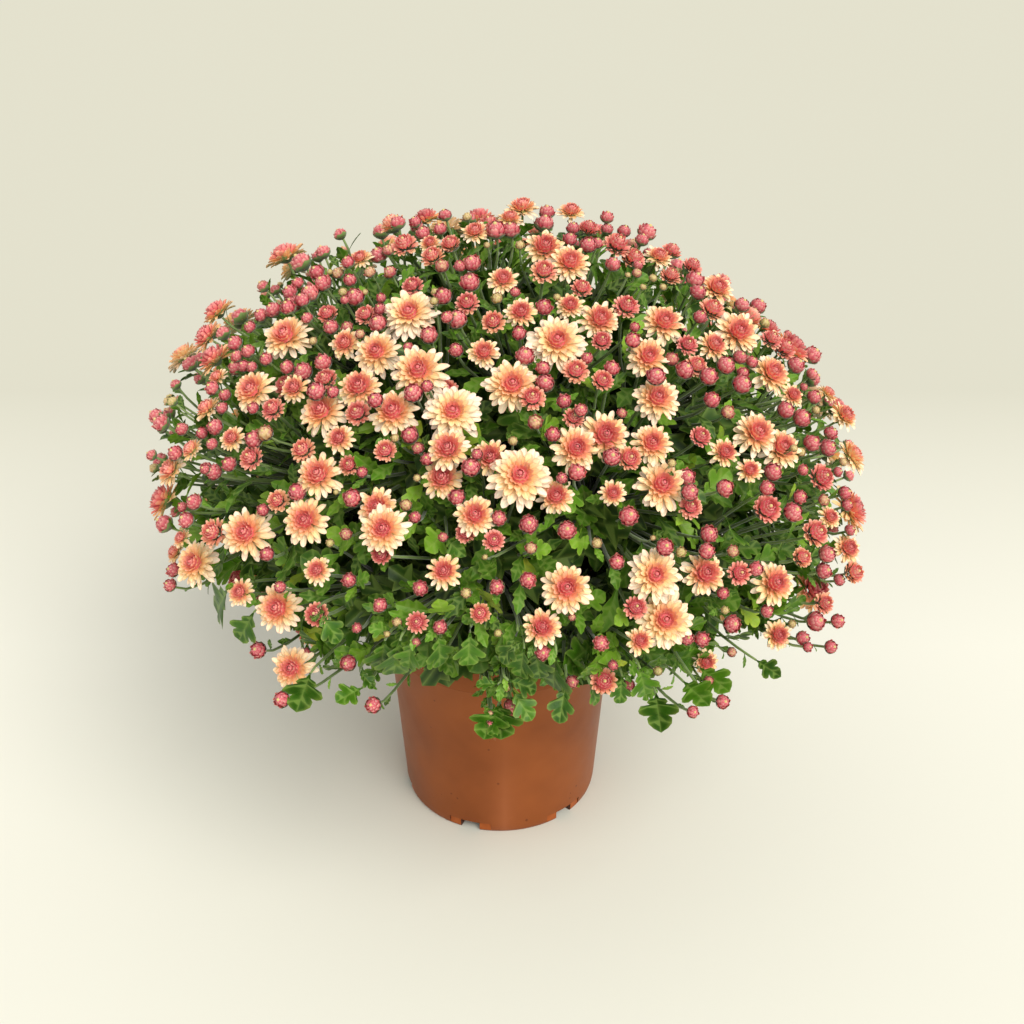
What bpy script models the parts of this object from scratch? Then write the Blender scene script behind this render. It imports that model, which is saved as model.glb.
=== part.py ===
"""A pot chrysanthemum: leafy flowering stems in soil, in a terracotta-coloured nursery pot.

Metres, +Z up. The origin is on the surface under the pot, on the pot's axis, and the side
that the photograph shows faces -Y.
"""

import math
import random
from collections import namedtuple

import bmesh
import bpy
from mathutils import Vector
from mathutils.bvhtree import BVHTree

SEED = 11
GAP = 0.0004
FLAT_ANGLE = math.radians(0.05)

# The pot, a common nursery size of 200 mm across its rim.
RIM_RADIUS = 0.100
RIM_TOP = 0.187
BAND_BOTTOM = 0.159
BAND_STEP = 0.0018
WALL_AT_BAND = 0.0967
FOOT_RADIUS = 0.0840
FOOT_INNER_RADIUS = 0.0775
WALL = 0.0022
FLOOR_UNDERSIDE = 0.0100
FLOOR_TOP = 0.0125
FLOOR_FILLET = 0.0030
FOOT_HEIGHT = 0.0100
FOOT_FLARE = 0.0024
POT_STEPS = 30
NOTCHES = 6
NOTCH_HEIGHT = 0.0086
NOTCH_WIDTH = 0.0185
NOTCH_LIP_WIDTH = 0.041
NOTCH_LIP_DEPTH = 0.0014
NOTCH_LIP_RISE = 0.0011
FIRST_NOTCH = math.radians(-90 - 18)
DRAIN_RADIUS = 0.0045
DRAIN_RING = 0.064

# The soil and the holes that the stems stand in.
SOIL_TOP = 0.171
SOIL_STEPS = 24
STEM_RADIUS = 0.0023
STEM_HOLE_RADIUS = 0.0036
STEM_HOLE_DEPTH = 0.012
STEM_RING = 0.060

# The canopy: how far it reaches from its centre at each height angle, in degrees.
CANOPY_CENTRE = Vector((0.0135, 0.0, 0.270))
CANOPY_DEPTH = 0.93
CANOPY_REACH = ((-34, 0.144), (-12, 0.189), (-5, 0.236), (0, 0.262), (8, 0.284), (16, 0.286),
                (25, 0.278), (37, 0.267), (47, 0.259), (59, 0.250), (90, 0.249))
BULGE = 0.165
BULGE_AZIMUTH = math.radians(151)
LOWEST_ANGLE = math.radians(-34)

# The leafy stems. Levels are shares of the canopy's reach, and directions are unit vectors.
SPRAYS = 30
LOWEST_SPRAY = -0.42
LOWEST_BENT_STEM = -0.10
STEM_ELBOW = 0.40
CELL_SHRINK = 0.95
SHORTEST_EDGE = 0.07

# The core of leaves under a stem's flowers: a funnel below, and arched leaves side by side
# on top, each with a raised rib, a tip at the core's edge and a notch beside it.
CORE_BOTTOM = 0.54
CORE_FOOT = 0.011
CORE_MIDDLE = 0.85
CORE_RIB = 0.90
CORE_RIB_OUT = 0.56
CORE_TIP = 0.885
CORE_NOTCH = 0.80
CORE_NOTCH_OUT = 0.80
CORE_ROUGHNESS = 0.015
CORE_LEAF_SPACING = 0.20
ROOT_HEART = 0.72
ROOT_SHARE = 0.24

# The photograph's viewpoint, with lengths in metres and its frame in pixels.
VIEW_DISTANCE = 1.2
VIEW_ANGLE = math.radians(29.36)
VIEW_TARGET = Vector((0.0107, 0.0, 0.2756))
FRAME_MIDDLE = 512
FRAME_FOCUS = 1431
LEAST_SEEN = 0.25

# Flowers in the photograph: pixel column, pixel row and width in pixels.
SEEN_OPEN = (
    (286, 336, 52), (252, 390, 46), (294, 388, 32), (322, 411, 50), (359, 387, 46),
    (377, 352, 48), (345, 343, 34), (410, 314, 58), (393, 411, 50), (318, 475, 48),
    (339, 438, 32), (232, 438, 28), (475, 230, 30), (510, 218, 28), (522, 207, 36),
    (571, 211, 30), (545, 242, 42), (570, 262, 42), (659, 256, 30), (717, 288, 38),
    (503, 279, 32), (521, 312, 34), (570, 305, 30), (600, 319, 42), (664, 322, 44),
    (557, 342, 62), (484, 352, 34), (512, 385, 56), (419, 371, 58), (453, 412, 60),
    (450, 450, 44), (440, 477, 44), (490, 457, 40), (520, 477, 64), (576, 448, 48),
    (608, 433, 50), (648, 357, 46), (714, 345, 34), (738, 332, 48), (772, 373, 44),
    (657, 398, 48), (652, 443, 44), (662, 485, 54), (757, 433, 48), (782, 448, 44),
    (725, 452, 32), (750, 470, 28), (705, 573, 46), (655, 575, 56), (665, 620, 58),
    (775, 583, 46), (778, 635, 32), (706, 662, 28), (637, 637, 30), (567, 588, 52),
    (542, 627, 40), (444, 571, 36), (475, 515, 42), (377, 507, 42), (390, 528, 50),
    (305, 520, 48), (246, 533, 54), (195, 563, 50), (240, 592, 30), (278, 608, 50),
    (317, 570, 30), (292, 668, 46), (556, 496, 38), (848, 548, 32), (845, 415, 32),
    (793, 395, 26), (613, 493, 28), (360, 258, 26), (430, 243, 24), (830, 517, 26),
)
SEEN_SIDEWAYS = (
    (207, 408, 32), (191, 449, 28), (170, 470, 36), (175, 552, 26), (217, 377, 24),
    (852, 455, 40), (828, 393, 24), (181, 538, 22),
)
SEEN_HALF_OPEN = (
    (272, 378, 23), (272, 408, 22), (357, 412, 24), (325, 378, 22), (365, 314, 20),
    (327, 313, 20), (302, 449, 23), (339, 462, 20), (385, 450, 21), (250, 457, 23),
    (212, 532, 26), (404, 243, 24), (450, 243, 20), (432, 255, 22), (412, 285, 20),
    (467, 302, 22), (488, 215, 22), (589, 227, 20), (618, 243, 26), (637, 250, 24),
    (672, 250, 20), (675, 268, 20), (693, 265, 20), (544, 270, 24), (582, 287, 20),
    (627, 305, 24), (493, 321, 22), (576, 370, 24), (602, 340, 20), (603, 380, 21),
    (532, 400, 24), (442, 383, 24), (574, 417, 20), (630, 458, 24), (688, 344, 20),
    (697, 365, 22), (713, 308, 24), (772, 338, 20), (785, 347, 24), (701, 436, 21),
    (823, 477, 26), (768, 508, 28), (691, 506, 22), (817, 532, 26), (803, 557, 20),
    (855, 572, 22), (740, 573, 22), (825, 603, 20), (636, 607, 22), (494, 540, 20),
    (464, 533, 20), (480, 613, 20), (417, 622, 20), (316, 614, 24), (277, 500, 21),
    (381, 554, 20), (604, 681, 26),
)
SEEN_BUDS = (
    (250, 327, 12), (230, 363, 17), (182, 429, 13), (170, 585, 13), (194, 502, 16),
    (310, 293, 18), (375, 248, 17), (445, 215, 13), (547, 212, 15), (624, 231, 13),
    (742, 305, 15), (812, 355, 18), (845, 493, 14), (855, 583, 12), (838, 621, 14),
    (803, 638, 14), (718, 697, 14), (287, 695, 16), (632, 690, 12), (303, 371, 18),
    (254, 439, 18), (352, 498, 18), (472, 263, 17), (525, 356, 18), (410, 435, 17),
    (528, 580, 16), (567, 530, 18), (617, 562, 15), (725, 488, 17), (732, 624, 17),
)

# Twigs that hang below the canopy: pixel column and row of the tip.
HANGING_TWIGS = ((502, 700), (360, 692), (686, 705), (284, 652))
HANGING_BUDS = ((512, 712, 16), (373, 705, 16), (693, 712, 12), (258, 650, 16), (491, 714, 9))

# Leaves that stand out of the outline: pixels of the base and of the tip.
SEEN_LEAVES = (
    (254, 612, 238, 641), (362, 688, 337, 701), (310, 674, 297, 709), (318, 612, 340, 642),
    (656, 694, 661, 730), (566, 684, 559, 723), (508, 680, 537, 690), (512, 690, 532, 720),
    (498, 706, 484, 737), (500, 704, 501, 737), (498, 684, 476, 684), (684, 682, 708, 704),
    (360, 672, 374, 688), (412, 640, 408, 669), (438, 634, 441, 667), (470, 632, 468, 666),
    (400, 640, 394, 676), (516, 636, 502, 664), (524, 648, 520, 678), (536, 650, 540, 680),
    (556, 654, 552, 690), (590, 684, 598, 704), (622, 676, 620, 704), (640, 668, 646, 696),
    (385, 640, 380, 668), (700, 668, 728, 690), (756, 660, 780, 676), (228, 590, 214, 614),
)

UNSEEN_OPEN = 57
UNSEEN_HALF_OPEN = 28
UNSEEN_BUDS = 14
CANOPY_LEAVES = 28
SKIRT_LEAVES = 11
SKIRT_RADIUS = 0.124
SKIRT_TIP = 0.176
POT_CLEARANCE = 0.018
RIM_CLEARANCE = 0.030
HEAD_SPACING = 0.56
OPEN_SIZES = (0.028, 0.044)
HALF_OPEN_SIZES = (0.016, 0.021)
BUD_SIZES = (0.010, 0.014)
BIG_BLOOM = 0.038
SMALLEST_HALF_OPEN = 0.0172
LEAST_STRAIGHT = 0.45

# Lobed outlines on one side of the midrib: share of the length, share of the width. The rib
# has a knot beside each lobe.
LARGE_LEAF_EDGE = ((0.44, 0.50), (0.52, 0.24), (0.76, 0.42), (0.84, 0.20))
LARGE_LEAF_RIB = (0.46, 0.76)
LEAF_EDGE = ((0.58, 0.50), (0.70, 0.20))
LEAF_RIB = (0.60,)
LEAF_THICKNESS = 0.0014
LARGE_LEAF = 0.030

Head = namedtuple("Head", "kind place facing size turn")
Leaf = namedtuple("Leaf", "base tip facing width large")
Spray = namedtuple("Spray", "aim heart core wood parts heads")


def canopy_reach(away):
    """Distance from the canopy's centre to its surface, along a unit vector."""
    angle = max(CANOPY_REACH[0][0], math.degrees(math.asin(max(-1.0, min(1.0, away.z)))))
    for (low, near), (high, far) in zip(CANOPY_REACH, CANOPY_REACH[1:]):
        if angle <= high:
            break
    length = near + (far - near) * (angle - low) / (high - low)
    side = math.cos(math.atan2(away.y, away.x) - BULGE_AZIMUTH)
    level = math.hypot(away.x, away.y)
    return length * (1 + BULGE * max(0.0, side) ** 4 * level)


def canopy_point(away, share=1.0):
    """The point at a share of the canopy's reach along a unit vector."""
    offset = away * (canopy_reach(away) * share)
    return CANOPY_CENTRE + Vector((offset.x, offset.y * CANOPY_DEPTH, offset.z))


def canopy_direction(point):
    """Unit vector from the canopy's centre, and the share of its reach there."""
    offset = point - CANOPY_CENTRE
    offset = Vector((offset.x, offset.y / CANOPY_DEPTH, offset.z))
    away = offset.normalized()
    return away, offset.length / canopy_reach(away)


def sight_line(column, row):
    """The photograph's eye, and the step along a pixel's ray for each metre of depth."""
    ahead = Vector((0, math.cos(VIEW_ANGLE), -math.sin(VIEW_ANGLE)))
    upward = Vector((0, math.sin(VIEW_ANGLE), math.cos(VIEW_ANGLE)))
    eye = VIEW_TARGET - ahead * VIEW_DISTANCE
    across = (column - FRAME_MIDDLE) / FRAME_FOCUS
    rise = (FRAME_MIDDLE - row) / FRAME_FOCUS
    return eye, ahead + Vector((across, 0, 0)) + upward * rise


def seen_point(column, row):
    """Where a pixel's ray first meets the canopy, or passes it closest, and its depth."""
    eye, step = sight_line(column, row)
    best = (9.0, VIEW_DISTANCE)
    for count in range(200):
        depth = VIEW_DISTANCE - 0.36 + count * 0.003
        share = canopy_direction(eye + step * depth)[1]
        if share < best[0]:
            best = (share, depth)
        if share <= 1.0:
            break
    depth = best[1]
    while beside_pot(eye + step * depth):
        depth -= 0.004
    return eye + step * depth, depth


def beside_pot(point):
    """Whether a point is closer to the pot than a hanging shoot may be."""
    beside = math.hypot(point.x, point.y) < RIM_RADIUS + POT_CLEARANCE
    return beside and point.z < RIM_TOP + RIM_CLEARANCE


def outward_facing(point, lean):
    """A flower faces outwards, and turns up towards the light."""
    away, _ = canopy_direction(point)
    azimuth = math.atan2(away.y, away.x)
    angle = math.radians(34) + 0.5 * math.asin(away.z)
    facing = Vector((math.cos(azimuth) * math.cos(angle), math.sin(azimuth) * math.cos(angle),
                     math.sin(angle)))
    return (facing + lean).normalized()


def seen_head(kind, column, row, width, turned, rng):
    """A head that the photograph shows, turned partly to its viewer."""
    point, depth = seen_point(column, row)
    eye, _ = sight_line(column, row)
    lean = (eye - point).normalized() * turned
    lean += Vector((rng.uniform(-0.12, 0.12), rng.uniform(-0.12, 0.12), rng.uniform(-0.12, 0.12)))
    size = width * depth / FRAME_FOCUS
    return Head(kind, point, outward_facing(point, lean), size, rng.uniform(0, math.tau))


def seen_heads():
    """All the heads that the photograph shows, largest kinds first."""
    rng = random.Random(SEED)
    heads = [seen_head("open", *spot, 0.55, rng) for spot in SEEN_OPEN]
    heads += [seen_head("open", *spot, 0.0, rng) for spot in SEEN_SIDEWAYS]
    heads += [seen_head("half", *spot, 0.4, rng) for spot in SEEN_HALF_OPEN]
    heads += [seen_head("bud", *spot, 0.4, rng) for spot in HANGING_BUDS + SEEN_BUDS]
    return heads


def is_seen(point):
    """Whether the photograph shows this part of the canopy."""
    eye, _ = sight_line(FRAME_MIDDLE, FRAME_MIDDLE)
    away, _ = canopy_direction(point)
    return away.dot((eye - point).normalized()) > LEAST_SEEN


def unseen_heads(heads):
    """The hidden side flowers as densely as the side that the photograph shows."""
    rng = random.Random(SEED + 1)
    kinds = (("open", UNSEEN_OPEN, OPEN_SIZES), ("half", UNSEEN_HALF_OPEN, HALF_OPEN_SIZES),
             ("bud", UNSEEN_BUDS, BUD_SIZES))
    found = []
    for kind, wanted, sizes in kinds:
        for _ in range(wanted * 60):
            if sum(head.kind == kind for head in found) == wanted:
                break
            rise = rng.uniform(-0.42, 1.0)
            azimuth = rng.uniform(0, math.tau)
            level = math.sqrt(1 - rise * rise)
            away = Vector((level * math.cos(azimuth), level * math.sin(azimuth), rise))
            size = rng.uniform(*sizes)
            point = canopy_point(away, rng.uniform(0.97, 1.0))
            crowded = any((point - other.place).length < (size + other.size) * HEAD_SPACING
                          for other in heads + found)
            if is_seen(point) or crowded:
                continue
            lean = Vector((rng.uniform(-0.2, 0.2), rng.uniform(-0.2, 0.2), rng.uniform(-0.2, 0.2)))
            facing = outward_facing(point, lean)
            found.append(Head(kind, point, facing, size, rng.uniform(0, math.tau)))
    return found


def spray_aims():
    """Directions of the leafy stems, evenly spread over the canopy from its top down."""
    golden = math.pi * (3 - math.sqrt(5))
    for index in range(SPRAYS):
        rise = 1 - (1 - LOWEST_SPRAY) * (index + 0.5) / SPRAYS
        level = math.sqrt(1 - rise * rise)
        azimuth = index * golden
        yield Vector((level * math.cos(azimuth), level * math.sin(azimuth), rise))


def sideways(axis):
    """Two unit vectors square to an axis and to each other."""
    first = axis.orthogonal().normalized()
    return first, axis.cross(first)


def cut_outline(outline, normal):
    """Keep the part of a flat outline of directions on the positive side of a plane."""
    kept = []
    for here, there in zip(outline, outline[1:] + outline[:1]):
        near = here.dot(normal)
        far = there.dot(normal)
        if near >= 0:
            kept.append(here)
        if near * far < 0:
            kept.append(here.lerp(there, near / (near - far)))
    return kept


def spray_cell(aim, aims):
    """Directions at the corners of the region that is closer to this stem than to the rest."""
    first, second = sideways(aim)
    wide = 0.75
    corners = ((1, 1), (-1, 1), (-1, -1), (1, -1))
    outline = [aim + first * wide * x + second * wide * y for x, y in corners]
    for other in aims:
        if other is not aim and other.dot(aim) > 0:
            outline = cut_outline(outline, aim - other)
    level = Vector((aim.x, aim.y, 0)).normalized()
    outline = cut_outline(outline, level * math.sin(-LOWEST_ANGLE)
                          + Vector((0, 0, math.cos(LOWEST_ANGLE))))
    middle = sum(outline, Vector()) / len(outline)
    outline = [middle.lerp(corner, CELL_SHRINK).normalized() for corner in outline]
    tidy = [corner for corner, after in zip(outline, outline[1:] + outline[:1])
            if (corner - after).length > SHORTEST_EDGE]
    return middle.normalized(), tidy


def core_shell(middle, cell, rng):
    """A spray's leafy core: arched leaves side by side from its middle, over a funnel.

    Each leaf runs along a raised rib to its tip, and two leaves meet in a low notch.
    """
    ribs = []
    rim = []
    for corner, after in zip(cell, cell[1:] + cell[:1]):
        leaves = max(1, round((corner - after).length / CORE_LEAF_SPACING))
        for count in range(leaves):
            tip = corner.lerp(after, count / leaves).normalized()
            notch = corner.lerp(after, (count + 0.5) / leaves).normalized()
            lift = rng.uniform(-CORE_ROUGHNESS, CORE_ROUGHNESS)
            rim.append(canopy_point(tip, CORE_TIP + lift))
            rim.append(canopy_point(middle.lerp(notch, CORE_NOTCH_OUT).normalized(), CORE_NOTCH))
            ribs.append(canopy_point(middle.lerp(tip, CORE_RIB_OUT).normalized(), CORE_RIB + lift))
    below = canopy_point(middle, CORE_BOTTOM)
    points = rim + ribs + [canopy_point(middle, CORE_MIDDLE)]
    centre = len(points) - 1
    foot = len(points)
    for side in range(3):
        onward = rim[len(rim) * side // 3] - below
        points.append(below + onward.normalized() * CORE_FOOT)
    faces = [(foot + 2, foot + 1, foot)]
    for here in range(len(rim)):
        after = (here + 1) % len(rim)
        corner = foot + here * 3 // len(rim)
        following = foot + after * 3 // len(rim)
        faces.append((corner, after, here))
        if following != corner:
            faces.append((corner, following, after))
    for leaf in range(len(ribs)):
        before, tip, notch = (2 * leaf - 1) % len(rim), 2 * leaf, 2 * leaf + 1
        rib = len(rim) + leaf
        faces += [(centre, before, rib), (before, tip, rib), (tip, notch, rib),
                  (notch, centre, rib)]
    return points, faces


def tube(path, radii, sides):
    """A closed tube along a path, with flat ends."""
    points = []
    faces = []
    first = None
    for index, centre in enumerate(path):
        before = path[max(index - 1, 0)]
        after = path[min(index + 1, len(path) - 1)]
        along = (after - before).normalized()
        if first is None:
            first = along.orthogonal().normalized()
        first = (first - along * first.dot(along)).normalized()
        second = along.cross(first)
        for side in range(sides):
            angle = math.tau * side / sides
            spoke = first * math.cos(angle) + second * math.sin(angle)
            points.append(centre + spoke * radii[index])
    for ring in range(len(path) - 1):
        for side in range(sides):
            after = (side + 1) % sides
            low, high = ring * sides, (ring + 1) * sides
            faces.append((low + side, low + after, high + after, high + side))
    faces.append(tuple(reversed(range(sides))))
    faces.append(tuple(range((len(path) - 1) * sides, len(path) * sides)))
    return points, faces


def stalk_rings(head, root, radius, drop):
    """Three points under a head and three at its stalk's root, and the faces between them."""
    first, second = sideways(head.facing)
    neck = head.place - head.facing * drop
    along = (neck - root).normalized()
    below = (first - along * first.dot(along)).normalized()
    beside = along.cross(below)
    points = []
    for centre, x_axis, y_axis in ((neck, first, second), (root, below, beside)):
        for side in range(3):
            angle = math.tau * side / 3
            points.append(centre + (x_axis * math.cos(angle) + y_axis * math.sin(angle)) * radius)
    faces = [(5, 4, 3)]
    for side in range(3):
        after = (side + 1) % 3
        faces.append((3 + side, 3 + after, after, side))
    return points, faces


def ring_points(head, radius, height, angles):
    """Points of a head on a circle about its axis."""
    first, second = sideways(head.facing)
    centre = head.place + head.facing * height
    return [centre + (first * math.cos(angle) + second * math.sin(angle)) * radius
            for angle in angles]


def under_faces(rim, steps):
    """Faces from a head's rim down to the three points of its neck."""
    faces = []
    per_step = len(rim) // steps
    for step in range(steps):
        neck = step * 3 // steps
        corners = [rim[(step * per_step + offset) % len(rim)] for offset in range(per_step + 1)]
        for here, after in zip(corners, corners[1:]):
            faces.append((neck, after, here))
        following = (step + 1) * 3 // steps % 3
        if following != neck:
            faces.append((neck, following, corners[-1]))
    return faces


def big_bloom(head, root):
    """An open bloom: a skirt of petals round a raised inner crown."""
    petals = 6
    radius = head.size / 2
    step = math.tau / petals
    starts = [index * step for index in range(petals)]
    middles = [angle + step / 2 for angle in starts]
    points, faces = stalk_rings(head, root, 0.0014, radius * 0.42)
    rim = []
    for start, middle in zip(starts, middles):
        rim += [len(points), len(points) + 1]
        points += ring_points(head, radius * 0.74, radius * 0.03, (start,))
        points += ring_points(head, radius * 1.04, -radius * 0.03, (middle,))
    valley = len(points)
    points += ring_points(head, radius * 0.50, radius * 0.18, starts)
    peak = len(points)
    points += ring_points(head, radius * 0.36, radius * 0.46, middles)
    centre = len(points)
    points.append(head.place + head.facing * radius * 0.26)
    for index in range(petals):
        after = (index + 1) % petals
        notch, tip = rim[index * 2:index * 2 + 2]
        low, next_low, top = valley + index, valley + after, peak + index
        faces += [(low, notch, tip), (low, tip, top), (top, tip, next_low),
                  (next_low, tip, rim[after * 2]), (centre, low, top), (centre, top, next_low)]
    return points, faces + under_faces(rim, petals)


def small_bloom(head, root):
    """A younger bloom: pointed petals round a low crown."""
    petals = 5
    radius = head.size / 2
    step = math.tau / petals
    points, faces = stalk_rings(head, root, 0.0013, radius * 0.5)
    rim = []
    for index in range(petals):
        rim += [len(points), len(points) + 1]
        points += ring_points(head, radius * 0.70, radius * 0.04, (index * step,))
        points += ring_points(head, radius * 1.05, radius * 0.02, ((index + 0.5) * step,))
    crown = len(points)
    points += ring_points(head, radius * 0.52, radius * 0.46, [i * step for i in range(petals)])
    centre = len(points)
    points.append(head.place + head.facing * radius * 0.40)
    for index in range(petals):
        after = (index + 1) % petals
        notch, tip = rim[index * 2:index * 2 + 2]
        faces += [(crown + index, notch, tip), (crown + index, tip, crown + after),
                  (crown + after, tip, rim[after * 2]), (centre, crown + index, crown + after)]
    return points, faces + under_faces(rim, petals)


def half_bloom(head, root):
    """A half-open ball, with its upper petals still curled in."""
    sides = 5
    radius = head.size / 2
    step = math.tau / sides
    points, faces = stalk_rings(head, root, 0.0013, radius * 0.85)
    rim = list(range(len(points), len(points) + sides))
    points += ring_points(head, radius * 1.05, 0, [i * step for i in range(sides)])
    curl = len(points)
    points += ring_points(head, radius * 0.74, radius * 0.62, [(i + 0.5) * step for i in range(sides)])
    faces.append(tuple(range(curl, curl + sides)))
    for index in range(sides):
        after = (index + 1) % sides
        faces += [(rim[index], rim[after], curl + index),
                  (rim[after], curl + after, curl + index)]
    return points, faces + under_faces(rim, sides)


def bud(head, root):
    """A closed bud."""
    sides = 4
    radius = head.size / 2
    step = math.tau / sides
    points, faces = stalk_rings(head, root, 0.0012, radius * 0.9)
    rim = list(range(len(points), len(points) + sides))
    points += ring_points(head, radius * 1.08, 0, [i * step for i in range(sides)])
    apex = len(points)
    points.append(head.place + head.facing * radius * 0.9)
    for index in range(sides):
        faces.append((rim[index], rim[(index + 1) % sides], apex))
    return points, faces + under_faces(rim, sides)


def head_shell(head, root):
    """The closed skin of one head and its stalk."""
    if head.kind == "bud" or head.size < SMALLEST_HALF_OPEN:
        return bud(head, root)
    if head.kind == "half":
        return half_bloom(head, root)
    if head.size < BIG_BLOOM:
        return small_bloom(head, root)
    return big_bloom(head, root)


def leaf_shell(leaf, root):
    """A thin lobed blade, arched along its midrib, from its root to its tip."""
    along = leaf.tip - root
    length = along.length
    along.normalize()
    above = (leaf.facing - along * leaf.facing.dot(along)).normalized()
    across = above.cross(along)

    def at(share, side, lift):
        arch = 0.22 * length * share * (1 - share) - 0.25 * abs(side) * leaf.width
        return root + along * length * share + across * leaf.width * side + above * (arch + lift)

    edge, rib = (LARGE_LEAF_EDGE, LARGE_LEAF_RIB) if leaf.large else (LEAF_EDGE, LEAF_RIB)
    half = LEAF_THICKNESS / 2
    base, tip = 0, 1
    upper_rib = list(range(2, 2 + len(rib)))
    left = list(range(2 + 2 * len(rib), 2 + 2 * len(rib) + len(edge)))
    points = [at(0, 0, 0), at(1, 0, 0)]
    points += [at(share, 0, lift) for lift in (half, -half) for share in rib]
    points += [at(share, side, 0) for share, side in edge]
    points += [at(share, -side, 0) for share, side in edge]
    upper = [(base, upper_rib[0], left[0])]
    for count, knot in enumerate(upper_rib):
        onward = upper_rib[count + 1] if count + 1 < len(rib) else tip
        lobe, notch = left[2 * count], left[2 * count + 1]
        upper += [(knot, notch, lobe), (knot, onward, notch)]
        if onward != tip:
            upper.append((onward, left[2 * count + 2], notch))
    mirror = {point: point + len(edge) for point in left}
    upper += [tuple(mirror.get(point, point) for point in reversed(face)) for face in upper]
    below = {point: point + len(rib) for point in upper_rib}
    lower = [tuple(below.get(point, point) for point in reversed(face)) for face in upper]
    return points, upper + lower


def swell(points, faces, amount):
    """A shell's points, each moved out from the shell's own surface."""
    normals = [Vector() for _ in points]
    for face in faces:
        corner, second, third = (points[index] for index in face[:3])
        normal = (second - corner).cross(third - corner).normalized()
        for index in face:
            normals[index] += normal
    return [point + normal.normalized() * amount for point, normal in zip(points, normals)]


class Clearance:
    """Keeps what is in place, and tells whose shells a new one would touch.

    A shell may always touch the core, stem and twigs of its own spray, which are its wood.
    """

    def __init__(self):
        self.placed = []

    def add(self, owner, shell, wood=False):
        points, faces = shell
        low = Vector(min(point[axis] for point in points) for axis in range(3))
        high = Vector(max(point[axis] for point in points) for axis in range(3))
        self.placed.append((owner, wood, low, high, BVHTree.FromPolygons(points, faces)))

    def rivals(self, owner, shell):
        points, faces = shell
        wide = swell(points, faces, GAP)
        tree = BVHTree.FromPolygons(wide, faces)
        low = Vector(min(point[axis] for point in wide) for axis in range(3))
        high = Vector(max(point[axis] for point in wide) for axis in range(3))
        found = set()
        for other, wood, other_low, other_high, other_tree in self.placed:
            if other in found or (wood and other == owner):
                continue
            apart = any(low[axis] > other_high[axis] or high[axis] < other_low[axis]
                        for axis in range(3))
            if not apart and tree.overlap(other_tree):
                found.add(other)
        return found


def stem_path(aim, middle, index):
    """From the soil, up through the hollow middle of the canopy, into the core."""
    ring = STEM_RING * math.sqrt((index + 0.5) / SPRAYS)
    azimuth = math.atan2(aim.y, aim.x)
    foot = Vector((ring * math.cos(azimuth), ring * math.sin(azimuth),
                   SOIL_TOP - STEM_HOLE_DEPTH + 0.002))
    collar = Vector((foot.x, foot.y, SOIL_TOP + 0.004))
    path = [foot, collar]
    if aim.z > LOWEST_BENT_STEM:
        path.append(canopy_point(middle, STEM_ELBOW))
    path.append(canopy_point(middle, CORE_BOTTOM + 0.12))
    return path


def start_sprays(clearance):
    """The stems and cores that every head and leaf grows from."""
    aims = list(spray_aims())
    rng = random.Random(SEED + 3)
    sprays = []
    for index, aim in enumerate(aims):
        middle, cell = spray_cell(aim, aims)
        core = core_shell(middle, cell, rng)
        path = stem_path(aim, middle, index)
        stem = tube(path, [STEM_RADIUS] * len(path), 3)
        tree = BVHTree.FromPolygons(*core)
        sprays.append(Spray(aim, canopy_point(middle, ROOT_HEART), tree, [], [core, stem], []))
        clearance.add(index, core, wood=True)
        clearance.add(index, stem, wood=True)
    return sprays


def root_on(spray, point):
    """The nearest place on a spray's core or twigs where a stalk can take root."""
    nearest = spray.core.find_nearest(point)[0]
    best = nearest.lerp(spray.heart, ROOT_SHARE)
    gap = (point - nearest).length
    for start, end in spray.wood:
        along = end - start
        share = max(0.1, min(0.97, (point - start).dot(along) / along.length_squared))
        knot = start + along * share
        if (point - knot).length < gap:
            gap = (point - knot).length
            best = knot
    return best


def by_closeness(sprays, point):
    """The sprays' numbers, from the one whose core is closest to a point."""
    return sorted(range(len(sprays)),
                  key=lambda index: (sprays[index].core.find_nearest(point)[0] - point).length)


def bent_off(head, root):
    """The same head, turned if it must be, so that it doesn't fold back on its own stalk."""
    along = (head.place - root).normalized()
    facing = head.facing
    while facing.dot(along) < LEAST_STRAIGHT:
        facing = (facing + along * 0.2).normalized()
    return head._replace(facing=facing)


def settle_head(head, sprays, clearance):
    """Give a head to the nearest spray that it can grow from without crossing anything.

    An open bloom that finds no such place may cross others of its own spray, which it is
    fused with.
    """
    nearest = by_closeness(sprays, head.place)[:3]
    away, _ = canopy_direction(head.place)
    for crossing in (False, True) if head.kind != "bud" else (False,):
        for shift in (0.0, -0.006, 0.006, -0.012, 0.012):
            place = head.place + away * shift
            for index in nearest:
                root = root_on(sprays[index], place)
                bent = bent_off(head._replace(place=place), root)
                shell = head_shell(bent, root)
                rivals = clearance.rivals(index, shell)
                if not rivals or (crossing and rivals == {index}):
                    sprays[index].parts.append(shell)
                    sprays[index].heads.append(bent)
                    clearance.add(index, shell)
                    return True
    return False


def settle_kind(kind, heads, sprays, clearance):
    """Settle all the heads of one kind."""
    for head in heads:
        if head.kind == kind:
            settle_head(head, sprays, clearance)


def settle_leaf(leaf, sprays, clearance):
    """Give a leaf to the nearest spray, unless it would cross another."""
    for index in by_closeness(sprays, leaf.base)[:2]:
        root = root_on(sprays[index], leaf.base)
        shell = leaf_shell(leaf, root)
        if (leaf.tip - root).length > 0.015 and not clearance.rivals(index, shell):
            sprays[index].parts.append(shell)
            clearance.add(index, shell)
            return True
    return False


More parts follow.
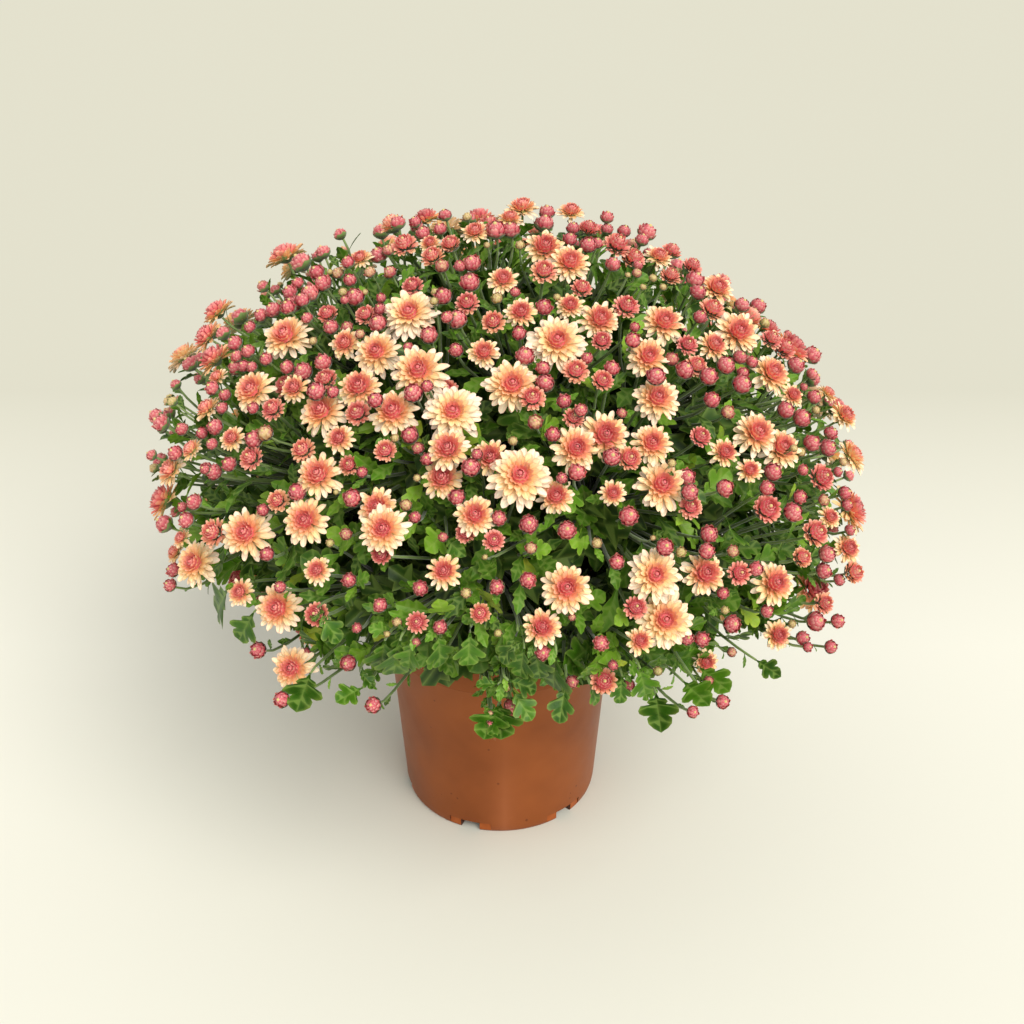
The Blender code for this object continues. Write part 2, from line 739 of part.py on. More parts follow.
def grow_twigs(sprays, clearance):
    """The shoots that droop over the pot's rim."""
    for column, row in HANGING_TWIGS:
        tip, _ = seen_point(column, row)
        index = by_closeness(sprays, tip)[0]
        root = root_on(sprays[index], tip)
        shell = tube([root, tip], [0.0016, 0.0012], 3)
        sprays[index].parts.append(shell)
        sprays[index].wood.append((root, tip))
        clearance.add(index, shell, wood=True)


def seen_leaves():
    """Leaves that stand out of the photograph's outline."""
    for base_column, base_row, column, row in SEEN_LEAVES:
        tip, depth = seen_point(column, row)
        base, _ = seen_point(base_column, base_row)
        eye, _ = sight_line(column, row)
        length = math.hypot(column - base_column, row - base_row) * depth / FRAME_FOCUS
        facing = (eye - tip).normalized() + Vector((0, 0, 0.3))
        yield Leaf(base, tip, facing, length * 0.8, length > LARGE_LEAF)


def canopy_leaves():
    """Leaves that rise between the flowers, each slanting to one side."""
    rng = random.Random(SEED + 2)
    golden = math.pi * (3 - math.sqrt(5))
    for index in range(CANOPY_LEAVES):
        rise = 0.98 - 1.36 * (index + 0.5) / CANOPY_LEAVES
        level = math.sqrt(1 - rise * rise)
        azimuth = 1.9 + index * golden
        away = Vector((level * math.cos(azimuth), level * math.sin(azimuth), rise))
        first, second = sideways(away)
        turn = rng.uniform(0, math.tau)
        slant = first * math.cos(turn) + second * math.sin(turn)
        tip = canopy_point((away + slant * 0.10).normalized(), rng.uniform(0.93, 0.98))
        width = rng.uniform(0.022, 0.028)
        yield Leaf(canopy_point(away, CORE_RIB), tip, away - slant * 0.6, width, False)


def skirt_leaves():
    """Leaves that hang over the pot's rim on the sides that the photograph doesn't show."""
    rng = random.Random(SEED + 4)
    for index in range(SKIRT_LEAVES):
        azimuth = math.radians(-35 + 250 * (index + 0.5) / SKIRT_LEAVES)
        azimuth += rng.uniform(-0.05, 0.05)
        outward = Vector((math.cos(azimuth), math.sin(azimuth), 0))
        reach = SKIRT_RADIUS + rng.uniform(0, 0.014)
        tip = outward * reach + Vector((0, 0, SKIRT_TIP + rng.uniform(-0.008, 0.010)))
        base = outward * (reach - 0.012) + Vector((0, 0, SKIRT_TIP + 0.034))
        yield Leaf(base, tip, outward + Vector((0, 0, 0.4)), rng.uniform(0.028, 0.034), True)


def material(name, colour, roughness):
    """A plain finish."""
    finish = bpy.data.materials.new(name)
    finish.use_nodes = True
    shader = finish.node_tree.nodes["Principled BSDF"]
    shader.inputs["Base Color"].default_value = (*colour, 1)
    shader.inputs["Roughness"].default_value = roughness
    finish.diffuse_color = (*colour, 1)
    return finish


def add_object(name, points, faces):
    """A mesh object from points and faces."""
    mesh = bpy.data.meshes.new(name)
    mesh.from_pydata(points, [], faces)
    obj = bpy.data.objects.new(name, mesh)
    bpy.context.scene.collection.objects.link(obj)
    return obj


def apply_modifiers(obj):
    """Replace an object's mesh with the one that its modifiers give."""
    graph = bpy.context.evaluated_depsgraph_get()
    mesh = bpy.data.meshes.new_from_object(obj.evaluated_get(graph))
    obj.modifiers.clear()
    obj.data = mesh


def boolean(obj, operation, operands, solver="EXACT"):
    """Join operands to an object or cut them from it, then remove them."""
    group = bpy.data.collections.new(obj.name + "_operands")
    for operand in operands:
        group.objects.link(operand)
        bpy.context.scene.collection.objects.unlink(operand)
    bpy.context.scene.collection.children.link(group)
    modifier = obj.modifiers.new(operation.lower(), "BOOLEAN")
    modifier.operation = operation
    modifier.operand_type = "COLLECTION"
    modifier.collection = group
    modifier.solver = solver
    apply_modifiers(obj)
    for operand in operands:
        bpy.data.objects.remove(operand)
    bpy.data.collections.remove(group)


def keep_largest_body(obj):
    """Tidy flat faces, drop loose scraps and fill sealed hollows, which are bodies too."""
    shape = bmesh.new()
    shape.from_mesh(obj.data)
    bmesh.ops.dissolve_limit(shape, angle_limit=FLAT_ANGLE, verts=shape.verts, edges=shape.edges)
    bmesh.ops.triangulate(shape, faces=shape.faces)
    waiting = set(shape.faces)
    bodies = []
    while waiting:
        body = [waiting.pop()]
        for face in body:
            for edge in face.edges:
                if len(edge.link_faces) != 2:
                    continue
                for other in edge.link_faces:
                    if other in waiting:
                        waiting.remove(other)
                        body.append(other)
        bodies.append(body)
    bodies.sort(key=len)
    for body in bodies[:-1]:
        bmesh.ops.delete(shape, geom=body, context="FACES")
    shape.to_mesh(obj.data)
    shape.free()


def paint_heads(obj, heads, finishes):
    """Foliage everywhere except on the heads, which take their own colours."""
    for finish in finishes:
        obj.data.materials.append(finish)
    for face in obj.data.polygons:
        for head in heads:
            offset = face.center - head.place
            if offset.length < head.size * 0.56 and offset.dot(head.facing) > -head.size * 0.3:
                face.material_index = 1 if head.kind == "open" else 2


def revolve(name, profile, steps):
    """A closed body turned about Z from (radius, height) points, with flat ends."""
    points = []
    rings = []
    for radius, height in profile:
        rings.append(list(range(len(points), len(points) + steps)))
        for step in range(steps):
            angle = math.tau * step / steps
            points.append(Vector((radius * math.cos(angle), radius * math.sin(angle), height)))
    faces = []
    for low, high in zip(rings, rings[1:]):
        for step in range(steps):
            after = (step + 1) % steps
            faces.append((low[step], low[after], high[after], high[step]))
    faces.append(tuple(reversed(rings[0])))
    faces.append(tuple(rings[-1]))
    return add_object(name, points, faces)


def ring_sector(name, inner, outer, low, high, middle, width, steps):
    """A cutter: part of a thick ring, as wide as given along its arc."""
    half = width / 2 / outer
    points = []
    for step in range(steps + 1):
        angle = middle - half + 2 * half * step / steps
        for radius, height in ((inner, low), (outer, low), (outer, high), (inner, high)):
            points.append(Vector((radius * math.cos(angle), radius * math.sin(angle), height)))
    faces = [(0, 1, 2, 3), tuple(4 * steps + corner for corner in (3, 2, 1, 0))]
    for step in range(steps):
        here, there = 4 * step, 4 * step + 4
        for corner in range(4):
            after = (corner + 1) % 4
            faces.append((here + after, here + corner, there + corner, there + after))
    cutter = add_object(name, points, faces)
    cutter.hide_render = True
    cutter.display_type = "WIRE"
    return cutter


def drain_cutter(name, azimuth):
    """A cutter for one drain hole in the pot's floor."""
    centre = Vector((DRAIN_RING * math.cos(azimuth), DRAIN_RING * math.sin(azimuth), 0))
    low = centre + Vector((0, 0, FLOOR_UNDERSIDE - 0.003))
    high = centre + Vector((0, 0, FLOOR_TOP + 0.003))
    cutter = add_object(name, *tube([low, high], [DRAIN_RADIUS] * 2, 5))
    cutter.hide_render = True
    cutter.display_type = "WIRE"
    return cutter


def wall_radius(height):
    """Outer radius of the pot's tapered wall below its rim band."""
    share = (height - FOOT_HEIGHT) / (BAND_BOTTOM - FOOT_HEIGHT)
    return FOOT_RADIUS + FOOT_FLARE + (WALL_AT_BAND - FOOT_RADIUS - FOOT_FLARE) * share


def make_pot():
    """The tapered pot, with its rim band, foot ring, notches and drain holes."""
    fillet_top = FLOOR_TOP + FLOOR_FILLET
    profile = [(FOOT_INNER_RADIUS - 0.001, FLOOR_UNDERSIDE),
               (FOOT_INNER_RADIUS, 0), (FOOT_RADIUS, 0), (FOOT_RADIUS + 0.0015, 0.0035),
               (wall_radius(FOOT_HEIGHT), FOOT_HEIGHT), (WALL_AT_BAND, BAND_BOTTOM),
               (WALL_AT_BAND + BAND_STEP, BAND_BOTTOM + 0.0006),
               (RIM_RADIUS, RIM_TOP - 0.0015), (RIM_RADIUS - 0.0008, RIM_TOP),
               (RIM_RADIUS - 0.0035, RIM_TOP),
               (wall_radius(fillet_top) - WALL, fillet_top),
               (wall_radius(FLOOR_TOP) - WALL - 0.001, FLOOR_TOP)]
    pot = revolve("pot", profile, POT_STEPS)
    cutters = []
    for index in range(NOTCHES):
        azimuth = FIRST_NOTCH + math.tau * index / NOTCHES
        name = f"notch_{index}"
        cutters.append(ring_sector(name, FOOT_INNER_RADIUS - 0.003, FOOT_RADIUS + 0.006, -0.002,
                                   NOTCH_HEIGHT, azimuth, NOTCH_WIDTH, 1))
        cutters.append(ring_sector(name + "_lip", wall_radius(FOOT_HEIGHT) - NOTCH_LIP_DEPTH,
                                   FOOT_RADIUS + 0.007, -0.003, NOTCH_HEIGHT + NOTCH_LIP_RISE,
                                   azimuth, NOTCH_LIP_WIDTH, 2))
        cutters.append(drain_cutter(f"drain_{index}", azimuth))
    boolean(pot, "DIFFERENCE", cutters)
    keep_largest_body(pot)
    pot.data.materials.append(material("terracotta plastic", (0.36, 0.125, 0.05), 0.42))
    pot.data.shade_smooth()
    pot.data.set_sharp_from_angle(angle=math.radians(30))
    return pot


def make_soil(sprays):
    """The potting soil that fills the pot, with a plain hole for each stem."""
    low_radius = wall_radius(FLOOR_TOP) - WALL - 0.001 - GAP
    top_radius = WALL_AT_BAND - WALL - GAP * 2
    bottom = FLOOR_TOP + GAP
    profile = [(low_radius - 0.001, bottom), (low_radius + 0.0006, bottom + 0.004),
               (top_radius, BAND_BOTTOM), (top_radius, SOIL_TOP - 0.004),
               (top_radius * 0.8, SOIL_TOP)]
    soil = revolve("soil", profile, SOIL_STEPS)
    cutters = []
    for index, spray in enumerate(sprays):
        foot = stem_path(spray.aim, spray.aim, index)[0]
        low = Vector((foot.x, foot.y, SOIL_TOP - STEM_HOLE_DEPTH))
        high = Vector((foot.x, foot.y, SOIL_TOP + 0.01))
        cutter = add_object(f"stem_hole_{index}", *tube([low, high], [STEM_HOLE_RADIUS] * 2, 3))
        cutter.hide_render = True
        cutter.display_type = "WIRE"
        cutters.append(cutter)
    boolean(soil, "DIFFERENCE", cutters)
    keep_largest_body(soil)
    soil.data.materials.append(material("potting soil", (0.035, 0.022, 0.014), 0.95))
    return soil


def make_spray(index, spray, finishes):
    """Fuse a spray's stem, core, stalks, heads and leaves in one body."""
    name = f"spray_{index + 1:02d}"
    operands = [add_object(f"{name}_{count}", *shell) for count, shell in enumerate(spray.parts)]
    obj = operands.pop(0)
    obj.name = name
    boolean(obj, "UNION", operands, solver="MANIFOLD")
    keep_largest_body(obj)
    paint_heads(obj, spray.heads, finishes)
    return obj


def grow_plant(clearance):
    """Every spray with all that grows on it, none of it crossing another spray."""
    sprays = start_sprays(clearance)
    grow_twigs(sprays, clearance)
    heads = seen_heads()
    heads += unseen_heads(heads)
    settle_kind("open", heads, sprays, clearance)
    settle_kind("half", heads, sprays, clearance)
    for leaf in (*seen_leaves(), *skirt_leaves()):
        settle_leaf(leaf, sprays, clearance)
    settle_kind("bud", heads, sprays, clearance)
    for leaf in canopy_leaves():
        settle_leaf(leaf, sprays, clearance)
    return sprays


def main():
    for old in list(bpy.data.objects):
        bpy.data.objects.remove(old)
    clearance = Clearance()
    pot = make_pot()
    clearance.add("pot", ([vertex.co.copy() for vertex in pot.data.vertices],
                          [tuple(face.vertices) for face in pot.data.polygons]))
    sprays = grow_plant(clearance)
    make_soil(sprays)
    finishes = (material("foliage", (0.10, 0.20, 0.04), 0.6),
                material("open petals", (0.90, 0.62, 0.36), 0.55),
                material("young petals", (0.66, 0.13, 0.13), 0.55))
    for index, spray in enumerate(sprays):
        make_spray(index, spray, finishes)
    return sprays


main()
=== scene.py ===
"""The looks of a pot chrysanthemum: petals, leaves, stems, soil and the pot's finish."""

import math
import random
from collections import namedtuple

import bpy
import numpy as np
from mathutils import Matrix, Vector
from mathutils.kdtree import KDTree


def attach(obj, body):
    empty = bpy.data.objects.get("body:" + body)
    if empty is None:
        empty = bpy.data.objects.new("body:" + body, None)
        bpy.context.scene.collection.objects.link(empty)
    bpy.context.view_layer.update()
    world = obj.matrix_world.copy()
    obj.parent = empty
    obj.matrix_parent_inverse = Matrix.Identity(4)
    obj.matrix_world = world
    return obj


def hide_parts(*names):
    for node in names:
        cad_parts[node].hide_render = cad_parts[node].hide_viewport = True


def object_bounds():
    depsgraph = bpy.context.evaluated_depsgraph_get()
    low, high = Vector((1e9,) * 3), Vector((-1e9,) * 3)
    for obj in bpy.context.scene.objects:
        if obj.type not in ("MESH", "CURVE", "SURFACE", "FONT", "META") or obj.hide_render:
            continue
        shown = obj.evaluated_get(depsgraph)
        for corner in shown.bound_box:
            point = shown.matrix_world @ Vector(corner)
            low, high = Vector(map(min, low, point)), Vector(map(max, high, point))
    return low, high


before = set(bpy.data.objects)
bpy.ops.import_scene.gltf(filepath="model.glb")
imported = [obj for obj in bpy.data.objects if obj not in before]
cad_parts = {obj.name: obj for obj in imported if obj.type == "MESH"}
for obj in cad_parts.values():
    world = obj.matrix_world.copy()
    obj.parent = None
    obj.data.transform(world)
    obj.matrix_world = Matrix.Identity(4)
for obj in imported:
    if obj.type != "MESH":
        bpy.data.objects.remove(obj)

cad_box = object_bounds()

SEED = 11

# The pot and the soil, as in the frame.
RIM_RADIUS = 0.100
RIM_TOP = 0.187
BAND_BOTTOM = 0.159
BAND_STEP = 0.0018
WALL_AT_BAND = 0.0967
FOOT_RADIUS = 0.0840
FOOT_INNER_RADIUS = 0.0775
WALL = 0.0022
FLOOR_UNDERSIDE = 0.0100
FLOOR_TOP = 0.0125
FLOOR_FILLET = 0.0030
FOOT_HEIGHT = 0.0100
FOOT_FLARE = 0.0024
POT_STEPS = 160
NOTCHES = 6
NOTCH_HEIGHT = 0.0086
NOTCH_WIDTH = 0.0185
NOTCH_LIP_WIDTH = 0.041
NOTCH_LIP_DEPTH = 0.0014
NOTCH_LIP_RISE = 0.0011
FIRST_NOTCH = math.radians(-90 - 18)
DRAIN_RADIUS = 0.0045
DRAIN_RING = 0.064
SOIL_TOP = 0.171

# Faint upright streaks on the pot's wall, and a painted highlight (the two near -90 degrees, on the
# front): azimuth and half width in degrees, and strength.
# They fade away up to this height.
POT_STREAKS_AND_HIGHLIGHT = ((-87, 9, 0.14), (-88, 26, 0.14), (25, 9, 0.16), (118, 12, 0.16))
STREAK_TOP = 0.130

# How far the painted shade spreads below a panel's top, and beside the step under the rim band.
PANEL_SHADE_REACH = 0.0011
CREASE_SHADE_REACH = 0.0011

# The canopy: how far it reaches from its centre at each height angle, in degrees.
CANOPY_CENTRE = Vector((0.0135, 0.0, 0.270))
CANOPY_DEPTH = 0.93
CANOPY_REACH = ((-34, 0.144), (-12, 0.189), (-5, 0.236), (0, 0.262), (8, 0.284), (16, 0.286),
                (25, 0.278), (37, 0.267), (47, 0.259), (59, 0.250), (90, 0.249))
BULGE = 0.165
BULGE_AZIMUTH = math.radians(151)

# The photograph's viewpoint, with lengths in metres and its frame in pixels.
VIEW_DISTANCE = 1.2
VIEW_ANGLE = math.radians(29.36)
VIEW_TARGET = Vector((0.0107, 0.0, 0.2756))
FRAME_MIDDLE = 512
FRAME_FOCUS = 1431
SENSOR_WIDTH = 36.0
LEAST_SEEN = 0.25

# The sunlight's direction, the sun's strength and spread, the sky, and half the paper's width.
SUNLIGHT = Vector((-0.40, 0.63, -0.74))
SUN_STRENGTH = 2.8
SUN_SPREAD = math.radians(42)
SKY_STRENGTH = 0.78
PAPER_HALF = 6.5

# The search along a pixel's ray for the canopy, and the step that moves a flower clear.
SEARCH_START = 0.36
SEARCH_STEP = 0.003
SEARCH_STEPS = 200
NUDGE = 0.004

# Flowers in the photograph: pixel column, pixel row and width in pixels.
SEEN_OPEN = (
    (286, 336, 52), (252, 390, 46), (294, 388, 32), (322, 411, 50), (359, 387, 46),
    (377, 352, 48), (345, 343, 34), (410, 314, 58), (393, 411, 50), (318, 475, 48),
    (339, 438, 32), (232, 438, 28), (475, 230, 30), (510, 218, 28), (522, 207, 36),
    (571, 211, 30), (545, 242, 42), (570, 262, 42), (659, 256, 30), (717, 288, 38),
    (503, 279, 32), (521, 312, 34), (570, 305, 30), (600, 319, 42), (664, 322, 44),
    (557, 342, 62), (484, 352, 34), (512, 385, 56), (419, 371, 58), (453, 412, 60),
    (450, 450, 44), (440, 477, 44), (490, 457, 40), (520, 477, 64), (576, 448, 48),
    (608, 433, 50), (648, 357, 46), (714, 345, 34), (738, 332, 48), (772, 373, 44),
    (657, 398, 48), (652, 443, 44), (662, 485, 54), (757, 433, 48), (782, 448, 44),
    (725, 452, 32), (750, 470, 28), (705, 573, 46), (655, 575, 56), (665, 620, 58),
    (775, 583, 46), (778, 635, 32), (706, 662, 28), (637, 637, 30), (567, 588, 52),
    (542, 627, 40), (444, 571, 36), (475, 515, 42), (377, 507, 42), (390, 528, 50),
    (305, 520, 48), (246, 533, 54), (195, 563, 50), (240, 592, 30), (278, 608, 50),
    (317, 570, 30), (292, 668, 46), (556, 496, 38), (848, 548, 32), (845, 415, 32),
    (793, 395, 26), (613, 493, 28), (360, 258, 26), (430, 243, 24), (830, 517, 26),
)
SEEN_SIDEWAYS = (
    (207, 408, 32), (191, 449, 28), (170, 470, 36), (175, 552, 26), (217, 377, 24),
    (852, 455, 40), (828, 393, 24), (181, 538, 22),
)
SEEN_HALF_OPEN = (
    (272, 378, 23), (272, 408, 22), (357, 412, 24), (325, 378, 22), (365, 314, 20),
    (327, 313, 20), (302, 449, 23), (339, 462, 20), (385, 450, 21), (250, 457, 23),
    (212, 532, 26), (404, 243, 24), (450, 243, 20), (432, 255, 22), (412, 285, 20),
    (467, 302, 22), (488, 215, 22), (589, 227, 20), (618, 243, 26), (637, 250, 24),
    (672, 250, 20), (675, 268, 20), (693, 265, 20), (544, 270, 24), (582, 287, 20),
    (627, 305, 24), (493, 321, 22), (576, 370, 24), (602, 340, 20), (603, 380, 21),
    (532, 400, 24), (442, 383, 24), (574, 417, 20), (630, 458, 24), (688, 344, 20),
    (697, 365, 22), (713, 308, 24), (772, 338, 20), (785, 347, 24), (701, 436, 21),
    (823, 477, 26), (768, 508, 28), (691, 506, 22), (817, 532, 26), (803, 557, 20),
    (855, 572, 22), (740, 573, 22), (825, 603, 20), (636, 607, 22), (494, 540, 20),
    (464, 533, 20), (480, 613, 20), (417, 622, 20), (316, 614, 24), (277, 500, 21),
    (381, 554, 20), (604, 681, 26),
)
HANGING_BUDS = ((512, 712, 16), (373, 705, 16), (693, 712, 12), (258, 650, 16), (491, 714, 9))
SEEN_BUDS = (
    (250, 327, 12), (230, 363, 17), (182, 429, 13), (170, 585, 13), (194, 502, 16),
    (310, 293, 18), (375, 248, 17), (445, 215, 13), (547, 212, 15), (624, 231, 13),
    (742, 305, 15), (812, 355, 18), (845, 493, 14), (855, 583, 12), (838, 621, 14),
    (803, 638, 14), (718, 697, 14), (287, 695, 16), (632, 690, 12), (303, 371, 18),
    (254, 439, 18), (352, 498, 18), (472, 263, 17), (525, 356, 18), (410, 435, 17),
    (528, 580, 16), (567, 530, 18), (617, 562, 15), (725, 488, 17), (732, 624, 17),
)
SMALL_BUDS = (
    (261, 315, 14), (273, 310, 16), (235, 343, 15), (175, 453, 15), (186, 520, 16),
    (290, 292, 15), (317, 272, 15), (415, 222, 12), (607, 217, 13), (647, 232, 18),
    (758, 306, 16), (812, 374, 12), (850, 530, 11), (831, 647, 13), (816, 621, 19),
    (214, 472, 16), (349, 580, 14), (348, 663, 16), (457, 319, 19), (471, 467, 18),
    (420, 588, 15), (543, 653, 15), (545, 383, 18), (564, 401, 14), (577, 472, 17),
    (601, 643, 15), (700, 317, 14), (742, 384, 19), (712, 400, 16), (802, 418, 18),
    (709, 534, 17), (665, 547, 17), (824, 571, 16), (323, 362, 17), (316, 391, 18),
    (331, 327, 15), (378, 323, 17), (380, 309, 12), (362, 472, 11), (266, 359, 13),
    (248, 351, 14), (237, 356, 12), (244, 366, 12), (252, 367, 11), (212, 388, 14),
    (225, 395, 12), (222, 408, 12), (202, 433, 12), (215, 427, 16), (212, 444, 12),
    (229, 464, 15), (206, 468, 12), (287, 367, 14), (307, 318, 12), (292, 305, 18),
    (333, 392, 12), (375, 400, 15), (253, 408, 12), (423, 233, 14), (440, 229, 13),
    (460, 266, 12), (470, 282, 19), (443, 296, 17), (447, 317, 12), (429, 335, 17),
    (323, 283, 17), (348, 262, 13), (350, 280, 13), (355, 297, 18), (345, 300, 9),
    (381, 298, 10), (298, 283, 12), (302, 300, 15), (288, 307, 15), (496, 230, 19),
    (511, 230, 17), (545, 223, 17), (573, 228, 13), (570, 239, 14), (588, 245, 16),
    (597, 243, 12), (607, 229, 12), (642, 240, 13), (695, 280, 18), (698, 292, 16),
    (515, 292, 10), (544, 307, 16), (635, 327, 10), (613, 264, 15), (638, 265, 10),
    (456, 350, 14), (519, 333, 14), (543, 368, 14), (587, 358, 12), (633, 340, 15),
    (612, 368, 15), (427, 386, 12), (413, 393, 18), (408, 347, 10), (427, 459, 13),
    (477, 454, 11), (553, 434, 15), (581, 410, 13), (562, 478, 11), (612, 457, 18),
    (685, 370, 18), (709, 376, 18), (726, 365, 18), (788, 334, 8), (796, 365, 17),
    (743, 373, 12), (740, 357, 14), (752, 362, 12), (786, 410, 17), (804, 387, 8),
    (814, 397, 14), (773, 472, 18), (803, 470, 11), (812, 443, 17), (831, 433, 14),
    (828, 448, 17), (656, 376, 18), (687, 477, 17), (690, 492, 17), (838, 472, 10),
    (297, 492, 18), (263, 510, 12), (267, 554, 14), (280, 587, 12), (380, 605, 14),
    (357, 628, 10), (173, 570, 14), (182, 507, 10), (205, 469, 10), (415, 517, 12),
    (457, 497, 16), (499, 518, 15), (529, 524, 18), (497, 587, 15), (440, 627, 14),
    (629, 516, 19), (767, 488, 15), (793, 512, 19), (800, 497, 14), (847, 505, 12),
    (827, 554, 17), (808, 647, 10), (767, 611, 13), (702, 639, 15), (687, 638, 14),
    (707, 551, 16), (756, 569, 15), (723, 593, 12), (305, 654, 12), (613, 665, 10),
)
PALE_BUDS = (
    (265, 433, 16), (347, 327, 12), (360, 334, 10), (388, 250, 12), (442, 266, 14),
    (390, 272, 13), (338, 273, 12), (370, 272, 12), (418, 448, 12), (535, 422, 15),
    (622, 413, 10), (672, 359, 14), (728, 412, 14), (747, 317, 8), (637, 273, 10),
    (346, 534, 12), (406, 505, 12), (443, 537, 10), (531, 548, 12), (416, 642, 9),
    (572, 617, 8), (824, 500, 12), (732, 652, 10), (733, 551, 12), (572, 682, 13),
    (709, 681, 10), (490, 714, 7),
)
GREEN_BUDS = (
    (395, 438, 9), (313, 341, 9), (435, 292, 9), (434, 301, 9), (330, 272, 7),
    (343, 292, 10), (365, 292, 7), (467, 217, 10), (487, 245, 7), (520, 245, 10),
    (497, 298, 12), (557, 297, 8), (628, 275, 6), (643, 287, 7), (653, 278, 9),
    (663, 287, 8), (513, 441, 10), (765, 323, 11), (816, 410, 9), (801, 452, 10),
    (794, 448, 8), (843, 462, 9), (672, 463, 9), (336, 492, 6), (330, 543, 9),
    (387, 634, 7), (397, 622, 10), (417, 478, 8), (485, 557, 6), (597, 543, 11),
    (466, 593, 11), (498, 633, 8), (792, 624, 9), (725, 610, 9), (681, 552, 11),
    (653, 538, 6), (506, 687, 9), (658, 671, 10),
)

# Small buds on the hidden side.
HIDDEN_BUDS = 150

# Leaves that stand out of the outline: pixels of the base and of the tip.
SEEN_LEAVES = (
    (254, 612, 238, 641), (362, 688, 337, 701), (310, 674, 297, 709), (318, 612, 340, 642),
    (656, 694, 661, 730), (566, 684, 559, 723), (508, 680, 537, 690), (512, 690, 532, 720),
    (498, 706, 484, 737), (500, 704, 501, 737), (498, 684, 476, 684), (684, 682, 708, 704),
    (360, 672, 374, 688), (412, 640, 408, 669), (438, 634, 441, 667), (470, 632, 468, 666),
    (400, 640, 394, 676), (516, 636, 502, 664), (524, 648, 520, 678), (536, 650, 540, 680),
    (556, 654, 552, 690), (590, 684, 598, 704), (622, 676, 620, 704), (640, 668, 646, 696),
    (385, 640, 380, 668), (700, 668, 728, 690), (756, 660, 780, 676), (228, 590, 214, 614),
)

# Flowers on the hidden side: how many and how wide, then how close and how low they stand,
# and how many places are tried for each.
UNSEEN = (("open", 57, (0.028, 0.044)), ("half", 28, (0.016, 0.021)), ("bud", 14, (0.010, 0.014)))
HEAD_SPACING = 0.56
LOWEST_RISE = -0.42
TRIES = 60

# A flower as high as the canopy's centre faces this many degrees above level.
LEVEL_FACING = 34

# A small head moves towards the viewer in so many steps, until it is this clear of the others.
FORWARD_STEPS = 5
FORWARD_SPACING = 0.42

# Widths at which the solids of heads change, and how far in or out a head may stand in them.
BIG_BLOOM = 0.038
SMALLEST_HALF_OPEN = 0.0172
SHIFTS = (0.0, -0.006, 0.006, -0.012, 0.012)

# Stalks of flowers that stand lower than this are leafier.
LOW_FLOWERS = 0.30

# How far hanging shoots keep from the pot's side and from its rim.
POT_CLEARANCE = 0.018
RIM_CLEARANCE = 0.030

# Leafy shoots with no flower, their stems, and how far out in the canopy sprays and leaves
# reach and stems fork.
SHOOTS = 190
SKIRT_SHOOTS = 60
SHOOT_LEAVES = 8
SKIRT_LEAVES = 10
DEEP_LEAVES = 2300
STEM_STEPS = 8
SHOOT_RADII = (0.0016, 0.0009)
SKIRT_RISES = (-0.60, -0.34, -0.47, -0.22)
RIM_PERCH = 0.125
SPRAY_REACH = 0.88
LEAF_REACH = 0.975
FORK = 0.58
ELBOW = 0.40
GOLDEN_ANGLE = math.pi * (3 - math.sqrt(5))

# Leaves over the first length have a finer mesh, and those under the second are narrow. Above
# a height, more and more of the others are narrow too.
LARGE_LEAF = 0.032
SMALL_LEAF = 0.015
LOW_LEAVES = 0.25
LEAF_CHANGE = 0.12

# Lengths of the leaves at a stem's foot and at its top.
STALK_LEAVES = (0.052, 0.012)
SHOOT_LEAF_SIZES = (0.042, 0.021)
SKIRT_LEAF_SIZES = (0.042, 0.026)
LOW_LEAF_SIZES = (0.045, 0.030)

Head = namedtuple("Head", "kind place facing size turn owner turned_away", defaults=(None, False))


def canopy_reach(away):
    """Distance from the canopy's centre to its surface, along a unit vector."""
    angle = max(CANOPY_REACH[0][0], math.degrees(math.asin(max(-1.0, min(1.0, away.z)))))
    for (low, near), (high, far) in zip(CANOPY_REACH, CANOPY_REACH[1:]):
        if angle <= high:
            break
    length = near + (far - near) * (angle - low) / (high - low)
    side = math.cos(math.atan2(away.y, away.x) - BULGE_AZIMUTH)
    level = math.hypot(away.x, away.y)
    return length * (1 + BULGE * max(0.0, side) ** 4 * level)


def canopy_point(away, share=1.0):
    """The point at a share of the canopy's reach along a unit vector."""
    offset = away * (canopy_reach(away) * share)
    return CANOPY_CENTRE + Vector((offset.x, offset.y * CANOPY_DEPTH, offset.z))


def canopy_direction(point):
    """Unit vector from the canopy's centre, and the share of its reach there."""
    offset = point - CANOPY_CENTRE
    offset = Vector((offset.x, offset.y / CANOPY_DEPTH, offset.z))
    away = offset.normalized()
    return away, offset.length / canopy_reach(away)


def sight_line(column, row):
    """The photograph's eye, and the step along a pixel's ray for each metre of depth."""
    ahead = Vector((0, math.cos(VIEW_ANGLE), -math.sin(VIEW_ANGLE)))
    upward = Vector((0, math.sin(VIEW_ANGLE), math.cos(VIEW_ANGLE)))
    eye = VIEW_TARGET - ahead * VIEW_DISTANCE
    across = (column - FRAME_MIDDLE) / FRAME_FOCUS
    rise = (FRAME_MIDDLE - row) / FRAME_FOCUS
    return eye, ahead + Vector((across, 0, 0)) + upward * rise


def beside_pot(point):
    """Whether a point is closer to the pot than a hanging shoot may be."""
    beside = math.hypot(point.x, point.y) < RIM_RADIUS + POT_CLEARANCE
    return beside and point.z < RIM_TOP + RIM_CLEARANCE


def around(radius, azimuth, height):
    """The point at a radius and an azimuth about Z."""
    return Vector((radius * math.cos(azimuth), radius * math.sin(azimuth), height))


def direction(azimuth, rise):
    """The unit vector at an azimuth with this rise along Z."""
    return around(math.sqrt(1 - rise * rise), azimuth, rise)


def jitter(rng, amount):
    """A small random offset."""
    return Vector((rng.uniform(-amount, amount), rng.uniform(-amount, amount),
                   rng.uniform(-amount, amount)))


